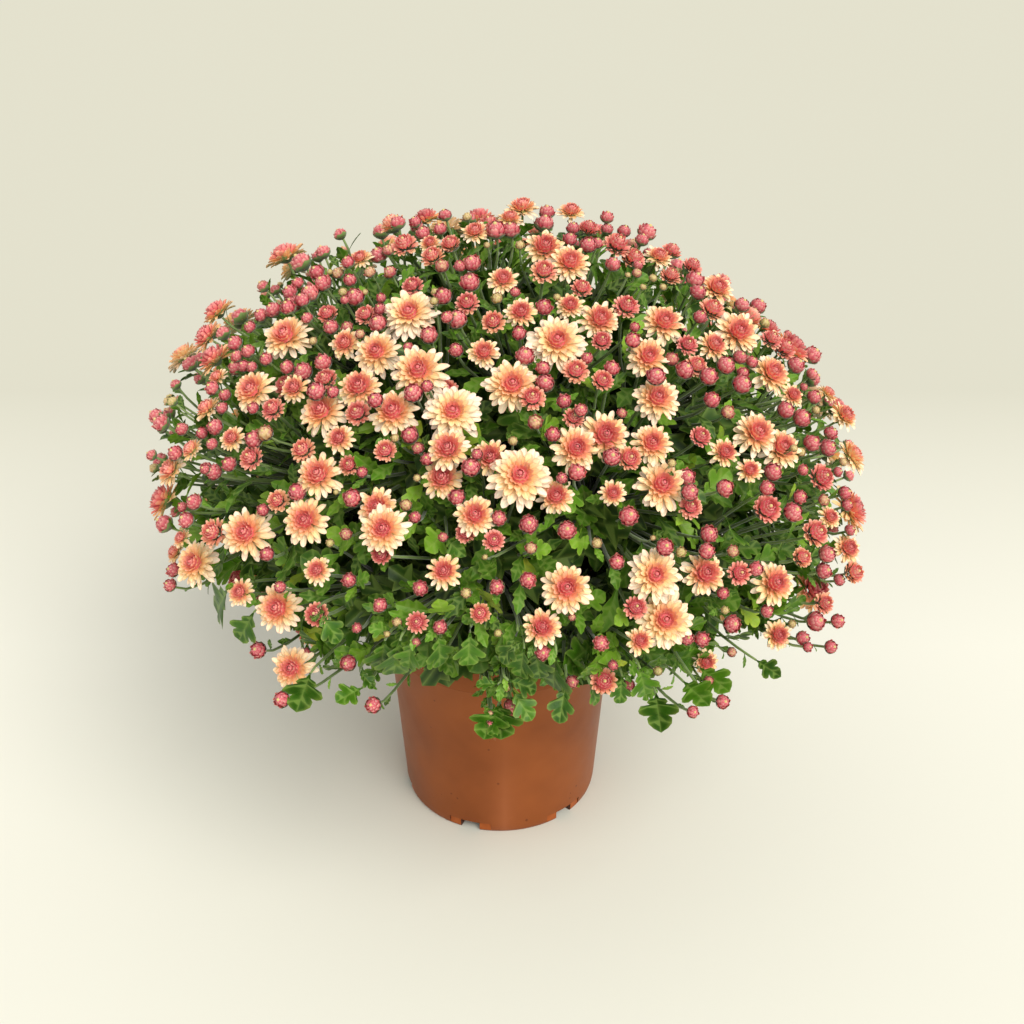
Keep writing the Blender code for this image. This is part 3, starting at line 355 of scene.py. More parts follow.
def seen_point(column, row):
    """Where a pixel's ray first meets the canopy, or passes it closest, and its depth."""
    eye, step = sight_line(column, row)
    closest = math.inf
    best = VIEW_DISTANCE
    for count in range(SEARCH_STEPS):
        depth = VIEW_DISTANCE - SEARCH_START + count * SEARCH_STEP
        share = canopy_direction(eye + step * depth)[1]
        if share < closest:
            closest, best = share, depth
        if share <= 1.0:
            break
    while beside_pot(eye + step * best):
        best -= NUDGE
    return eye + step * best, best


def outward_facing(point, lean):
    """A flower faces outwards, and turns up towards the light."""
    away, _ = canopy_direction(point)
    azimuth = math.atan2(away.y, away.x)
    angle = math.radians(LEVEL_FACING) + 0.5 * math.asin(away.z)
    facing = around(math.cos(angle), azimuth, math.sin(angle))
    return (facing + lean).normalized()


def seen_head(kind, column, row, width, turned, rng):
    """A head that the photograph shows, turned partly to its viewer."""
    point, depth = seen_point(column, row)
    eye, _ = sight_line(column, row)
    lean = (eye - point).normalized() * turned + jitter(rng, 0.12)
    size = width * depth / FRAME_FOCUS
    return Head(kind, point, outward_facing(point, lean), size, rng.uniform(0, math.tau))


def seen_heads():
    """The heads that the solids show too, in the order that they grow in there."""
    rng = random.Random(SEED)
    heads = [seen_head("open", *spot, 0.55, rng) for spot in SEEN_OPEN]
    heads += [seen_head("open", *spot, 0.0, rng) for spot in SEEN_SIDEWAYS]
    heads += [seen_head("half", *spot, 0.4, rng) for spot in SEEN_HALF_OPEN]
    heads += [seen_head("bud", *spot, 0.4, rng) for spot in HANGING_BUDS + SEEN_BUDS]
    return heads


def is_seen(point, least_seen):
    """Whether the photograph shows this part of the canopy."""
    eye, _ = sight_line(FRAME_MIDDLE, FRAME_MIDDLE)
    away, _ = canopy_direction(point)
    return away.dot((eye - point).normalized()) > least_seen


def unseen_heads(heads, kinds, rng, least_seen=LEAST_SEEN, shares=(0.97, 1.0)):
    """Flowers for the hidden side, which carries about half as many for its area as the seen one."""
    found = []
    for kind, wanted, sizes in kinds:
        for _ in range(wanted * TRIES):
            if sum(head.kind == kind for head in found) == wanted:
                break
            rise = rng.uniform(LOWEST_RISE, 1.0)
            away = direction(rng.uniform(0, math.tau), rise)
            size = rng.uniform(*sizes)
            point = canopy_point(away, rng.uniform(*shares))
            crowded = any((point - other.place).length < (size + other.size) * HEAD_SPACING
                          for other in heads + found)
            if is_seen(point, least_seen) or crowded:
                continue
            facing = outward_facing(point, jitter(rng, 0.2))
            found.append(Head(kind, point, facing, size, rng.uniform(0, math.tau),
                              turned_away=is_seen(point, -LEAST_SEEN)))
    return found


def sideways(axis):
    """Two unit vectors square to an axis and to each other."""
    first = axis.orthogonal().normalized()
    return first, axis.cross(first)


# Corners of a spray further out than this share of the canopy show where the spray heads.
OUTER_SHARE = 0.78


class Solids:
    """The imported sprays: which one a place belongs to, and where its stem stands."""

    def __init__(self):
        self.names = sorted(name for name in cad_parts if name.startswith("spray"))
        self.owners = []
        points = []
        self.feet = {}
        self.hearts = {}
        for name in self.names:
            corners = [vertex.co.copy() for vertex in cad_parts[name].data.vertices]
            points += corners
            self.owners += [name] * len(corners)
            low = [corner for corner in corners if corner.z < SOIL_TOP]
            self.feet[name] = sum(low, Vector()) / len(low)
            outer = [away for away, share in map(canopy_direction, corners) if share > OUTER_SHARE]
            self.hearts[name] = (sum(outer, Vector()) / len(outer)).normalized()
        self.tree = KDTree(len(points))
        for index, point in enumerate(points):
            self.tree.insert(point, index)
        self.tree.balance()

    def owner(self, place):
        """The spray whose solid comes closest to a place."""
        _, index, distance = self.tree.find(place)
        return self.owners[index], distance

    def grower(self, away):
        """The spray that grows out in this direction."""
        return self.owner(canopy_point(away, SPRAY_REACH))[0]

    def settle(self, head):
        """The head as its solid stands: moved in or out, and with its spray's name."""
        away, _ = canopy_direction(head.place)
        best = None
        for shift in SHIFTS:
            place = head.place + away * shift
            name, distance = self.owner(landmark(head, place))
            if best is None or distance < best[0]:
                best = (distance, place, name)
        return head._replace(place=best[1], owner=best[2])


def landmark(head, place):
    """A corner that the head's solid has at this place."""
    radius = head.size / 2
    if head.kind == "bud" or head.size < SMALLEST_HALF_OPEN:
        return place + head.facing * radius * 0.9
    if head.kind == "half":
        return place + sideways(head.facing)[0] * radius * 1.05
    return place + head.facing * radius * (0.26 if head.size >= BIG_BLOOM else 0.40)


def fit_in_box(head):
    """The head moved in far enough for the whole of it to stay inside the solids' box."""
    low, high = cad_box
    place = head.place.copy()
    for axis in range(3):
        room = head.size * (0.52 * math.sqrt(max(0.0, 1 - head.facing[axis] ** 2)) + 0.14)
        place[axis] = max(low[axis] + room, min(high[axis] - room, place[axis]))
    return head._replace(place=place)


def brought_forward(head, others):
    """A small head that the photograph shows in front of its neighbours stands clear of them."""
    eye, _ = sight_line(FRAME_MIDDLE, FRAME_MIDDLE)
    towards = (eye - head.place).normalized()
    place = head.place
    for _ in range(FORWARD_STEPS):
        if all((place - other.place).length > (head.size + other.size) * FORWARD_SPACING
               for other in others):
            break
        place = place + towards * NUDGE
    return head._replace(place=place)


def all_heads(solids):
    """Every flower and bud: those that the solids show, and the smaller ones between them."""
    heads = seen_heads()
    heads += unseen_heads(heads, UNSEEN, random.Random(SEED + 1))
    heads = [fit_in_box(solids.settle(head)) for head in heads]
    rng = random.Random(SEED + 5)
    for kind, spots in (("bud", SMALL_BUDS), ("pale", PALE_BUDS), ("green", GREEN_BUDS)):
        for column, row, width in spots:
            head = seen_head(kind, column, row, width, 0.4, rng)
            heads.append(fit_in_box(brought_forward(head, heads)))
    third = HIDDEN_BUDS // 3
    more = (("bud", 2 * third, (0.009, 0.016)), ("pale", third // 2, (0.008, 0.012)),
            ("green", third // 2, (0.006, 0.009)))
    hidden = unseen_heads(heads, more, random.Random(SEED + 6), 0.0, (0.95, 0.985))
    heads += [fit_in_box(head) for head in hidden]
    return [head if head.owner else head._replace(owner=solids.owner(head.place)[0])
            for head in heads]


def new_object(name, data):
    """A new object in the scene."""
    made = bpy.data.objects.new(name, data)
    bpy.context.scene.collection.objects.link(made)
    return made


class Pile:
    """Points, faces and marks that become one mesh. A mark is three numbers for the shaders."""

    def __init__(self):
        self.points = []
        self.marks = []
        self.faces = []
        self.looks = []
        self.size = 0

    def add(self, points, faces, marks, look=0):
        self.points.append(points.reshape(-1, 3))
        self.marks.append(marks.reshape(-1, 3))
        self.faces.append(faces + self.size)
        self.looks.append(np.full(len(faces), look))
        self.size += self.points[-1].shape[0]

    def build(self, name, looks):
        """The mesh object, with smooth faces and no unused point."""
        points = np.clip(np.concatenate(self.points), *np.array(cad_box))
        corners = np.concatenate([faces.ravel() for faces in self.faces])
        sizes = np.concatenate([np.full(len(faces), faces.shape[1]) for faces in self.faces])
        mesh = bpy.data.meshes.new(name)
        mesh.vertices.add(len(points))
        mesh.vertices.foreach_set("co", points.astype(np.float32).ravel())
        mesh.loops.add(len(corners))
        mesh.loops.foreach_set("vertex_index", corners.astype(np.int32))
        mesh.polygons.add(len(sizes))
        starts = np.concatenate(([0], np.cumsum(sizes)[:-1]))
        mesh.polygons.foreach_set("loop_start", starts.astype(np.int32))
        mesh.polygons.foreach_set("material_index", np.concatenate(self.looks).astype(np.int32))
        marks = mesh.attributes.new("mark", "FLOAT_VECTOR", "POINT")
        marks.data.foreach_set("vector", np.concatenate(self.marks).astype(np.float32).ravel())
        mesh.update(calc_edges=True)
        mesh.validate()
        mesh.shade_smooth()
        for look in looks:
            mesh.materials.append(look)
        return new_object(name, mesh)


def grid_faces(count, rows, columns, closed=False):
    """Four-sided faces of so many separate grids of points."""
    row, column = np.meshgrid(np.arange(rows - 1), np.arange(columns if closed else columns - 1),
                              indexing="ij")
    row, column = row.ravel(), column.ravel()
    after = (column + 1) % columns
    quads = np.stack([row * columns + column, row * columns + after,
                      (row + 1) * columns + after, (row + 1) * columns + column], axis=1)
    starts = np.arange(count) * rows * columns
    return (starts[:, None, None] + quads[None]).reshape(-1, 4)


def petal_outline(along):
    """A petal's half width at each share of its length: narrow at its base, round at its tip."""
    widest = 0.62
    neck = 0.42 + 0.58 * np.sin(np.clip(along / widest, 0, 1) * math.pi / 2)
    ending = np.sqrt(np.clip(1 - (np.clip(along - widest, 0, 1) / (1.02 - widest)) ** 2.6, 0, 1))
    return neck * ending


# A ring of petals on a head of radius 1: how many, their length and width, where they start
# out from the axis and up along it, their first slope and what it turns by in degrees, how
# late they turn, how far their sides lift, and their tone from cream (0) to crimson (1).
Ring = namedtuple("Ring", "count length width start base rise curl late cup tone")

FULL_RINGS = (
    Ring(17, 0.88, 0.26, 0.14, -0.12, -7, -11, 1.4, 0.10, 0.00),
    Ring(16, 0.80, 0.25, 0.14, -0.08, 6, -12, 1.4, 0.12, 0.05),
    Ring(15, 0.68, 0.24, 0.14, -0.04, 17, -7, 1.4, 0.14, 0.14),
    Ring(14, 0.54, 0.21, 0.15, 0.01, 29, 4, 1.4, 0.18, 0.28),
    Ring(14, 0.37, 0.17, 0.19, 0.05, 42, 28, 1.3, 0.22, 0.46),
    Ring(13, 0.30, 0.14, 0.16, 0.09, 50, 44, 1.2, 0.26, 0.64),
    Ring(9, 0.24, 0.12, 0.10, 0.15, 54, 66, 1.2, 0.28, 0.74),
)
YOUNG_RINGS = (
    Ring(13, 0.76, 0.26, 0.24, -0.24, 4, -14, 1.4, 0.12, 0.08),
    Ring(13, 0.66, 0.25, 0.26, -0.19, 17, -10, 1.4, 0.14, 0.24),
    Ring(13, 0.50, 0.23, 0.30, -0.14, 34, 8, 1.4, 0.16, 0.50),
    Ring(13, 0.46, 0.21, 0.31, -0.06, 48, 30, 1.2, 0.20, 0.64),
    Ring(12, 0.40, 0.19, 0.26, 0.05, 54, 48, 1.2, 0.24, 0.72),
    Ring(10, 0.33, 0.16, 0.19, 0.15, 58, 64, 1.2, 0.26, 0.78),
    Ring(7, 0.24, 0.14, 0.11, 0.24, 62, 80, 1.2, 0.28, 0.80),
)
HALF_RINGS = (
    Ring(14, 0.58, 0.28, 0.52, -0.46, 34, -22, 1.4, 0.12, 0.62),
    Ring(14, 0.62, 0.28, 0.50, -0.36, 50, -4, 1.4, 0.14, 0.68),
    Ring(13, 0.60, 0.26, 0.46, -0.20, 58, 30, 1.3, 0.18, 0.74),
    Ring(12, 0.54, 0.24, 0.38, 0.00, 60, 54, 1.2, 0.22, 0.78),
    Ring(9, 0.42, 0.20, 0.26, 0.18, 62, 72, 1.2, 0.26, 0.78),
    Ring(6, 0.28, 0.16, 0.13, 0.32, 64, 88, 1.2, 0.28, 0.70),
)
BUD_RINGS = (
    Ring(11, 1.02, 0.60, 0.60, -0.72, 42, 48, 1.0, 0.26, 0.88),
    Ring(11, 0.92, 0.56, 0.87, -0.26, 74, 50, 1.0, 0.26, 0.95),
    Ring(9, 0.74, 0.48, 0.82, 0.20, 106, 46, 1.0, 0.26, 1.00),
    Ring(6, 0.44, 0.34, 0.52, 0.62, 138, 30, 1.0, 0.22, 0.92),
)

# Where the rows of points lie along a petal, and the fewest points across one.
OUTER_ROWS = np.array((0.0, 0.30, 0.58, 0.80, 0.94, 1.0))
INNER_ROWS = np.array((0.0, 0.36, 0.68, 0.90, 1.0))
BALL_ROWS = np.array((0.0, 0.40, 0.78, 1.0))
SMALL_BALL_ROWS = np.array((0.0, 0.60, 1.0))
NARROWEST = 3

# The loose outer rings of a bloom, the tone of a green eye, and what is added to a bud's tone.
LOOSE_RINGS = 3
EYE_TONE = 1.28
TONES = {"bud": 0.0, "pale": 0.22, "green": 0.44}

# The widest blooms are fully open, and narrower ones are younger. The smallest buds are plainer.
FULL_SIZE = 0.043
YOUNGER_BY = 0.014
SMALL_BUD = 0.0115

# How much larger the petals reach than the heads' solids.
SPREAD = {"open": 1.03, "half": 1.12, "bud": 1.08, "pale": 1.05, "green": 1.0}


def petal_ring(ring, rows, columns, rng, loose):
    """One ring of petals about +Z, for a head of radius 1. Loose petals vary more."""
    count = ring.count

    def vary(amount):
        return rng.uniform(-amount, amount, (count, 1, 1))

    def add_up(start, steps):
        """Where each row lies, from the start and the steps between rows."""
        return start + np.concatenate((np.zeros((count, 1, 1)), np.cumsum(steps, axis=1)), axis=1)

    along = rows.reshape(1, -1, 1)
    across = np.linspace(-1, 1, columns).reshape(1, 1, -1)
    length = ring.length * (1 + vary(0.04 + 0.12 * loose))
    width = ring.width * (1 + vary(0.12))
    rise = math.radians(ring.rise) + vary(0.05 + 0.16 * loose)
    curl = math.radians(ring.curl) + vary(0.08 + 0.25 * loose)
    turn = (np.arange(count).reshape(-1, 1, 1) + rng.uniform()) * math.tau / count
    turn = turn + vary(0.08 + 0.12 * loose)
    angle = rise + curl * along ** ring.late
    middle = (angle[:, 1:] + angle[:, :-1]) / 2
    step = np.diff(along, axis=1) * length
    radial = add_up(ring.start, np.cos(middle) * step)
    height = add_up(ring.base, np.sin(middle) * step)
    outline = petal_outline(along)
    side = across * width * outline / 2
    back = across ** 2 * along ** 8 * 0.12 * width
    groove = 0.05 * np.cos(across * math.pi * 2) if columns > NARROWEST else 0.0
    lift = width * (ring.cup * across ** 2 * outline + groove * outline + vary(0.20) * across * along)
    radial = radial - np.sin(angle) * lift - np.cos(angle) * back
    height = height + np.cos(angle) * lift - np.sin(angle) * back
    points = np.stack(np.broadcast_arrays(radial * np.cos(turn) - side * np.sin(turn),
                                          radial * np.sin(turn) + side * np.cos(turn),
                                          height), axis=-1)
    marks = np.stack(np.broadcast_arrays(ring.tone + vary(0.05), along, across), axis=-1)
    return points, marks


def head_axes(head):
    """The head's own axes as columns: two across it and one out along its facing."""
    first, second = sideways(head.facing)
    turned = first * math.cos(head.turn) + second * math.sin(head.turn)
    return np.array((turned, head.facing.cross(turned), head.facing)).T


def place_head(pile, head, points, marks, faces, look=0):
    """Put points of a head of radius 1 where the head stands."""
    radius = head.size / 2 * SPREAD[head.kind]
    placed = points.reshape(-1, 3) @ head_axes(head).T * radius + np.array(head.place)
    pile.add(placed, faces, marks, look)


def place_turned(pile, head, wide, tall, columns, marks, look=0, shift=0.0):
    """Put a shape turned about the head's axis, from its half widths and heights row by row."""
    turns = np.linspace(0, math.tau, columns, endpoint=False) + shift
    points = np.stack(np.broadcast_arrays(wide * np.cos(turns), wide * np.sin(turns), tall), axis=-1)
    marks = np.stack([np.broadcast_to(mark, points.shape[:2]) for mark in marks], axis=-1)
    place_head(pile, head, points, marks, grid_faces(1, len(wide), columns, closed=True), look)


def add_ring(pile, head, ring, rows, columns, rng, loose):
    """Put one ring of petals on a head."""
    points, marks = petal_ring(ring, rows, columns, rng, loose)
    place_head(pile, head, points, marks, grid_faces(ring.count, len(rows), columns))


def between(full, young, share):
    """A ring between a full bloom's and a young one's."""
    values = [one + (other - one) * share for one, other in zip(full, young)]
    return Ring(round(values[0]), *values[1:])


def open_bloom(pile, head, rng):
    """A double bloom: loose pale outer petals round ever tighter, redder inner rings."""
    young = (FULL_SIZE - head.size) / YOUNGER_BY + rng.uniform(-0.25, 0.25)
    if head.turned_away:
        young += 0.7
    young = max(0.0, min(1.0, young))
    for index, (full, fresh) in enumerate(zip(FULL_RINGS, YOUNG_RINGS)):
        ring = between(full, fresh, young)
        ring = ring._replace(tone=ring.tone + 0.22 * head.turned_away)
        if index < LOOSE_RINGS:
            add_ring(pile, head, ring, OUTER_ROWS, 5, rng, 1.0 - 0.28 * index)
        else:
            add_ring(pile, head, ring, INNER_ROWS, NARROWEST, rng, 0.15)
    core_of_head(pile, head, 0.32, 0.23 + 0.03 * young, 0.86)
    eye_of_head(pile, head, 0.07, 0.30 + 0.06 * young, 0.74)


def core_of_head(pile, head, radius, top, tone, lowest=0.0):
    """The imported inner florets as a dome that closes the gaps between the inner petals."""
    angles = np.radians(np.linspace(lowest, 86.0, 4)).reshape(-1, 1)
    place_turned(pile, head, radius * np.cos(angles), top * np.sin(angles), 8, (tone, 0.5, 0.0))


def eye_of_head(pile, head, radius, height, tone=EYE_TONE):
    """The small button of unopened florets in the middle."""
    rows = np.array((0.0, 0.6, 1.0)).reshape(-1, 1)
    wide = radius * np.sqrt(np.clip(1.001 - rows ** 2, 0, 1))
    place_turned(pile, head, wide, height + radius * rows, 7, (tone, 0.0, 0.0))


def half_bloom(pile, head, rng):
    """A bowl of coral petals: frilled outside, incurved round its middle."""
    opening = rng.uniform(-0.3, 1.0)
    paler = rng.uniform(-0.12, 0.05)
    for index, ring in enumerate(HALF_RINGS):
        outer = index < 2
        rise = ring.rise - 14 * opening * outer + 10 * (1 - opening) * (index == 0)
        ring = ring._replace(rise=rise, tone=ring.tone + paler)
        add_ring(pile, head, ring, INNER_ROWS, NARROWEST, rng, 0.35 if outer else 0.12)
    core_of_head(pile, head, 0.56, 0.36, 0.96)
    eye_of_head(pile, head, 0.12, 0.50)


def closed_bud(pile, head, rng):
    """A closed bud: a ball of petals folded in round a small button."""
    tone = TONES[head.kind] + rng.uniform(-0.08, 0.05)
    small = head.kind in ("pale", "green") or head.size < SMALL_BUD
    for ring in BUD_RINGS:
        ring = ring._replace(tone=ring.tone + tone, count=ring.count - 2 * small)
        if small:
            ring = ring._replace(width=ring.width * 1.24)
        rows = SMALL_BALL_ROWS if small else BALL_ROWS
        add_ring(pile, head, ring, rows, NARROWEST, rng, 0.25)
    core_of_head(pile, head, 0.80, 0.80, 1.02 + tone, -25.0)
    eye_of_head(pile, head, 0.20, 0.78)


def calyx(pile, head, rng, reach, height):
    """The green cup of pointed bracts under a head."""
    columns = 12
    rows = np.linspace(0, 1, 4).reshape(-1, 1)
    teeth = 0.5 + 0.5 * np.cos(np.arange(columns) * math.pi).reshape(1, -1)
    rise = rows - 0.22 * (rows == 1) * (1 - teeth)
    wide = reach * (0.16 + 0.88 * np.sin(np.clip(rise, 0, 1) * math.pi * 0.5)) + 0.03 * teeth
    tall = -0.92 * reach + (height + 0.92 * reach) * rise ** 1.25
    place_turned(pile, head, wide, tall, columns, (0.55, rise, teeth), 1, rng.uniform(0, 1))


def curve_points(knots, count):
    """Points on the cubic curve with four control points, and its direction at each."""
    share = np.linspace(0, 1, count).reshape(-1, 1)
    a, b, c, d = (np.array(knot) for knot in knots)
    rest = 1 - share
    points = rest ** 3 * a + 3 * rest ** 2 * share * b + 3 * rest * share ** 2 * c + share ** 3 * d
    slope = 3 * rest ** 2 * (b - a) + 6 * rest * share * (c - b) + 3 * share ** 2 * (d - c)
    return points, slope / np.linalg.norm(slope, axis=1, keepdims=True)


def grow_stem(pile, knots, steps, radii, tone, sides=5):
    """A round stem along a cubic curve, with its points and its direction at each."""
    points, slopes = curve_points(knots, steps)
    first = np.cross(slopes, np.array((0.31, 0.83, 0.46)))
    first /= np.linalg.norm(first, axis=1, keepdims=True)
    second = np.cross(slopes, first)
    turns = np.linspace(0, math.tau, sides, endpoint=False)[None, :, None]
    ring = first[:, None] * np.cos(turns) + second[:, None] * np.sin(turns)
    skin = points[:, None] + ring * np.linspace(*radii, steps).reshape(-1, 1, 1)
    marks = np.zeros(skin.shape)
    marks[..., 0] = tone
    marks[..., 1] = np.linspace(0, 1, steps).reshape(-1, 1)
    pile.add(skin, grid_faces(1, steps, sides, closed=True), marks, 1)
    return points, slopes


# Half outlines of a leaf: share of the length along the midrib, and out from it. A vein runs
# to the points marked with 1.
BROAD_LEAF = (
    (0.00, 0.014, 0), (0.15, 0.050, 0), (0.22, 0.160, 0), (0.31, 0.205, 1), (0.38, 0.160, 0),
    (0.42, 0.190, 0), (0.50, 0.340, 0), (0.59, 0.395, 1), (0.68, 0.380, 0), (0.72, 0.300, 0),
    (0.67, 0.180, 0), (0.77, 0.240, 0), (0.87, 0.225, 1), (0.95, 0.140, 0), (1.00, 0.000, 1),
)
NARROW_LEAF = (
    (0.00, 0.012, 0), (0.25, 0.050, 0), (0.44, 0.130, 0), (0.55, 0.165, 1), (0.60, 0.110, 0),
    (0.74, 0.150, 1), (0.82, 0.095, 0), (0.92, 0.070, 0), (1.00, 0.000, 1),
)
DEEP_LEAF = (
    (0.00, 0.020, 0), (0.24, 0.150, 0), (0.42, 0.190, 0), (0.62, 0.390, 1), (0.70, 0.190, 0),
    (0.86, 0.200, 0), (1.00, 0.000, 1),
)


def leaf_pattern(outline, shares=(0.0, 1.0)):
    """A flat leaf as points (along, across), marks (vein, edge) and faces, both halves."""
    rib = 0.0
    points = []
    veins = []
    for along, out, vein in outline:
        rib = min(1.0, max(rib + 0.012, along - 0.75 * out))
        for share in shares:
            points.append((rib + (along - rib) * share, out * share))
            veins.append((1.0 if share == 0 else float(vein), share))
    points[-len(shares):] = [(1.0 - 0.02 * (1 - share), 0.0) for share in shares]
    half = np.array(points)
    other = half * (1, -1)
    faces = grid_faces(1, len(outline), len(shares))
    count = len(half)
    both = np.concatenate((half, other))
    return both, np.array(veins * 2), np.concatenate((faces, faces[:, ::-1] + count))


LEAF_PATTERNS = {"large": leaf_pattern(BROAD_LEAF, (0.0, 0.52, 1.0)),
                 "broad": leaf_pattern(BROAD_LEAF), "narrow": leaf_pattern(NARROW_LEAF),
                 "deep": leaf_pattern(DEEP_LEAF)}


def add_leaf(pile, kind, base, along, above, length, wide, rng, tone, droop=0.18):
    """A leaf on its stalk: arched, folded a little along its midrib, with sunken veins."""
    flat, veins, faces = LEAF_PATTERNS[kind]
    along = along / np.linalg.norm(along)
    above = above - along * np.dot(above, along)
    above = above / np.linalg.norm(above)
    across = np.cross(above, along)
    x, y = flat[:, 0], flat[:, 1] * wide
    waves = 0.012 * np.sin(x * 17 + rng.uniform(0, 6)) * np.abs(flat[:, 1]) * 4
    fold = rng.uniform(0.05, 0.40)
    roll = rng.uniform(-0.25, 0.25)
    lift = fold * np.abs(y) - droop * x ** 2 + 0.10 * x + waves + roll * y * x
    lift = lift - 0.016 * (veins[:, 0] > 0.5)
    points = (base + along * (x * length)[:, None] + across * (y * length)[:, None]
              + above * (lift * length)[:, None])
    marks = np.stack((np.full(len(x), tone), veins[:, 0], veins[:, 1]), axis=1)
    pile.add(points, faces, marks, 0)


def leaf_tone(rng):
    """How light a leaf is: mostly middle greens, a few young yellow-green ones."""
    tone = rng.normal(0.38, 0.14)
    if rng.uniform() < 0.05:
        tone += 0.28
    return float(np.clip(tone, 0.05, 0.88))


def leaf_kind(length, height, rng):
    """Large, broad or narrow: by its length, and by chance with its height."""
    narrow = 0.25 + 0.55 * min(1.0, max(0.0, (height - LOW_LEAVES) / LEAF_CHANGE))
    if length < SMALL_LEAF or rng.uniform() < narrow:
        return "narrow"
    return "large" if length > LARGE_LEAF else "broad"


def leaves_along(pile, points, slopes, shares, sizes, rng):
    """Leaves that leave a stem by turns, smaller towards its top."""
    turn = rng.uniform(0, math.tau)
    for share in shares:
        spot = share * (len(points) - 1)
        index = min(int(spot), len(points) - 2)
        base = points[index] + (points[index + 1] - points[index]) * (spot - index)
        slope = slopes[index]
        turn += GOLDEN_ANGLE + rng.uniform(-0.3, 0.3)
        first = np.cross(slope, np.array((0.12, 0.95, 0.28)))
        first /= np.linalg.norm(first)
        outward = first * math.cos(turn) + np.cross(slope, first) * math.sin(turn)
        along = slope + outward * rng.uniform(0.55, 1.25)
        away, _ = canopy_direction(Vector(base))
        above = slope * 0.7 + np.array(away) * 0.8 + np.array((0, 0, 0.45)) - outward * 0.3
        length = (sizes[0] + (sizes[1] - sizes[0]) * share) * rng.uniform(0.82, 1.18)
        along /= np.linalg.norm(along)
        over = canopy_direction(Vector(base + along * length))[1] - LEAF_REACH
        if over > 0:
            length *= max(0.45, 1 - over * 7)
        kind = leaf_kind(length, base[2], rng)
        wide = rng.uniform(0.85, 1.12) * (1.25 if kind == "narrow" else 1.0)
        add_leaf(pile, kind, base, along, above, length, wide, rng, leaf_tone(rng),
                 rng.uniform(0.05, 0.35))


def leafy_stem(pile, heart, knots, radii, tone, shares, sizes, rng):
    """A stem from its spray's fork on, with leaves at these shares of its length."""
    points, slopes = grow_stem(pile, (canopy_point(heart, FORK), *knots), STEM_STEPS, radii, tone)
    leaves_along(pile, points, slopes, shares, sizes, rng)


def grow_stalk(pile, head, heart, rng):
    """A flower's stalk, from the fork of its stem, with a few leaves."""
    away, _ = canopy_direction(head.place)
    depth = 0.42 if head.kind == "open" else 0.85
    neck = head.place - head.facing * (head.size / 2) * depth
    bend = canopy_point(heart.lerp(away, 0.75).normalized(), 0.80)
    under = neck - head.facing * (0.35 * (neck - bend).length + 0.008)
    radii = (0.0015, 0.0008 if head.kind in ("pale", "green") else 0.0010)
    tone = rng.uniform(0.3, 0.7)
    if head.kind in ("open", "half"):
        shares = (rng.uniform(0.45, 0.60), rng.uniform(0.62, 0.76), rng.uniform(0.80, 0.92))
    else:
        shares = (rng.uniform(0.55, 0.75), rng.uniform(0.80, 0.93))
    if neck.z < LOW_FLOWERS:
        shares = (0.32, 0.44, 0.56, 0.66) + shares
    leafy_stem(pile, heart, (bend, under, neck), radii, tone, shares, STALK_LEAVES, rng)


def grow_shoots(piles, solids, rng):
    """Leafy shoots that fill the canopy between the flowers, evenly on all sides."""
    for index in range(SHOOTS):
        away = direction(0.7 + index * GOLDEN_ANGLE, 0.99 - 1.52 * (index + 0.5) / SHOOTS)
        top = canopy_point(away, rng.uniform(0.80, 0.90))
        if beside_pot(top):
            continue
        owner = solids.grower(away)
        heart = solids.hearts[owner]
        bend = canopy_point(heart.lerp(away, 0.7).normalized(), 0.74)
        under = top - away * 0.02 - Vector((0, 0, 0.012))
        leafy_stem(piles[owner], heart, (bend, under, top), SHOOT_RADII, rng.uniform(0.3, 0.7),
                   np.linspace(0.42, 1.0, SHOOT_LEAVES), SHOOT_LEAF_SIZES, rng)


def grow_skirt(piles, solids, rng):
    """Low leafy shoots all round, under the lowest flowers and over the pot's rim."""
    for index in range(SKIRT_SHOOTS):
        azimuth = math.tau * (index + rng.uniform(-0.3, 0.3)) / SKIRT_SHOOTS
        rise = SKIRT_RISES[index % len(SKIRT_RISES)] + rng.uniform(-0.04, 0.04)
        away = direction(azimuth, rise)
        top = canopy_point(away, rng.uniform(0.86, 0.95))
        if beside_pot(top):
            top = around(RIM_PERCH, azimuth, RIM_TOP + 0.006)
        owner = solids.grower(away)
        bend = canopy_point(away, 0.55) + Vector((0, 0, 0.030))
        under = top - away * 0.03 + Vector((0, 0, 0.008))
        leafy_stem(piles[owner], solids.hearts[owner], (bend, under, top), SHOOT_RADII,
                   rng.uniform(0.3, 0.7), np.linspace(0.34, 1.0, SKIRT_LEAVES), SKIRT_LEAF_SIZES, rng)


def grow_deep_leaves(piles, solids, rng):
    """Leaves inside the canopy, darkened as painted shade, which keep it dark between the flowers."""
    for index in range(DEEP_LEAVES):
        away = direction(index * GOLDEN_ANGLE, 0.998 - 1.548 * (index + 0.5) / DEEP_LEAVES)
        spot = canopy_point(away, rng.uniform(0.48, 0.80))
        if beside_pot(spot):
            continue
        owner = solids.grower(away)
        outward = np.array(away)
        along = outward * 0.25 + rng.uniform(-1, 1, 3)
        above = outward + rng.uniform(-0.3, 0.3, 3)
        # Painted shade: their tone is cut to 0.30 of a leaf's, as deep inside the canopy.
        add_leaf(piles[owner], "deep", np.array(spot), along, above, rng.uniform(0.028, 0.042),
                 1.1, rng, leaf_tone(rng) * 0.30, 0.2)


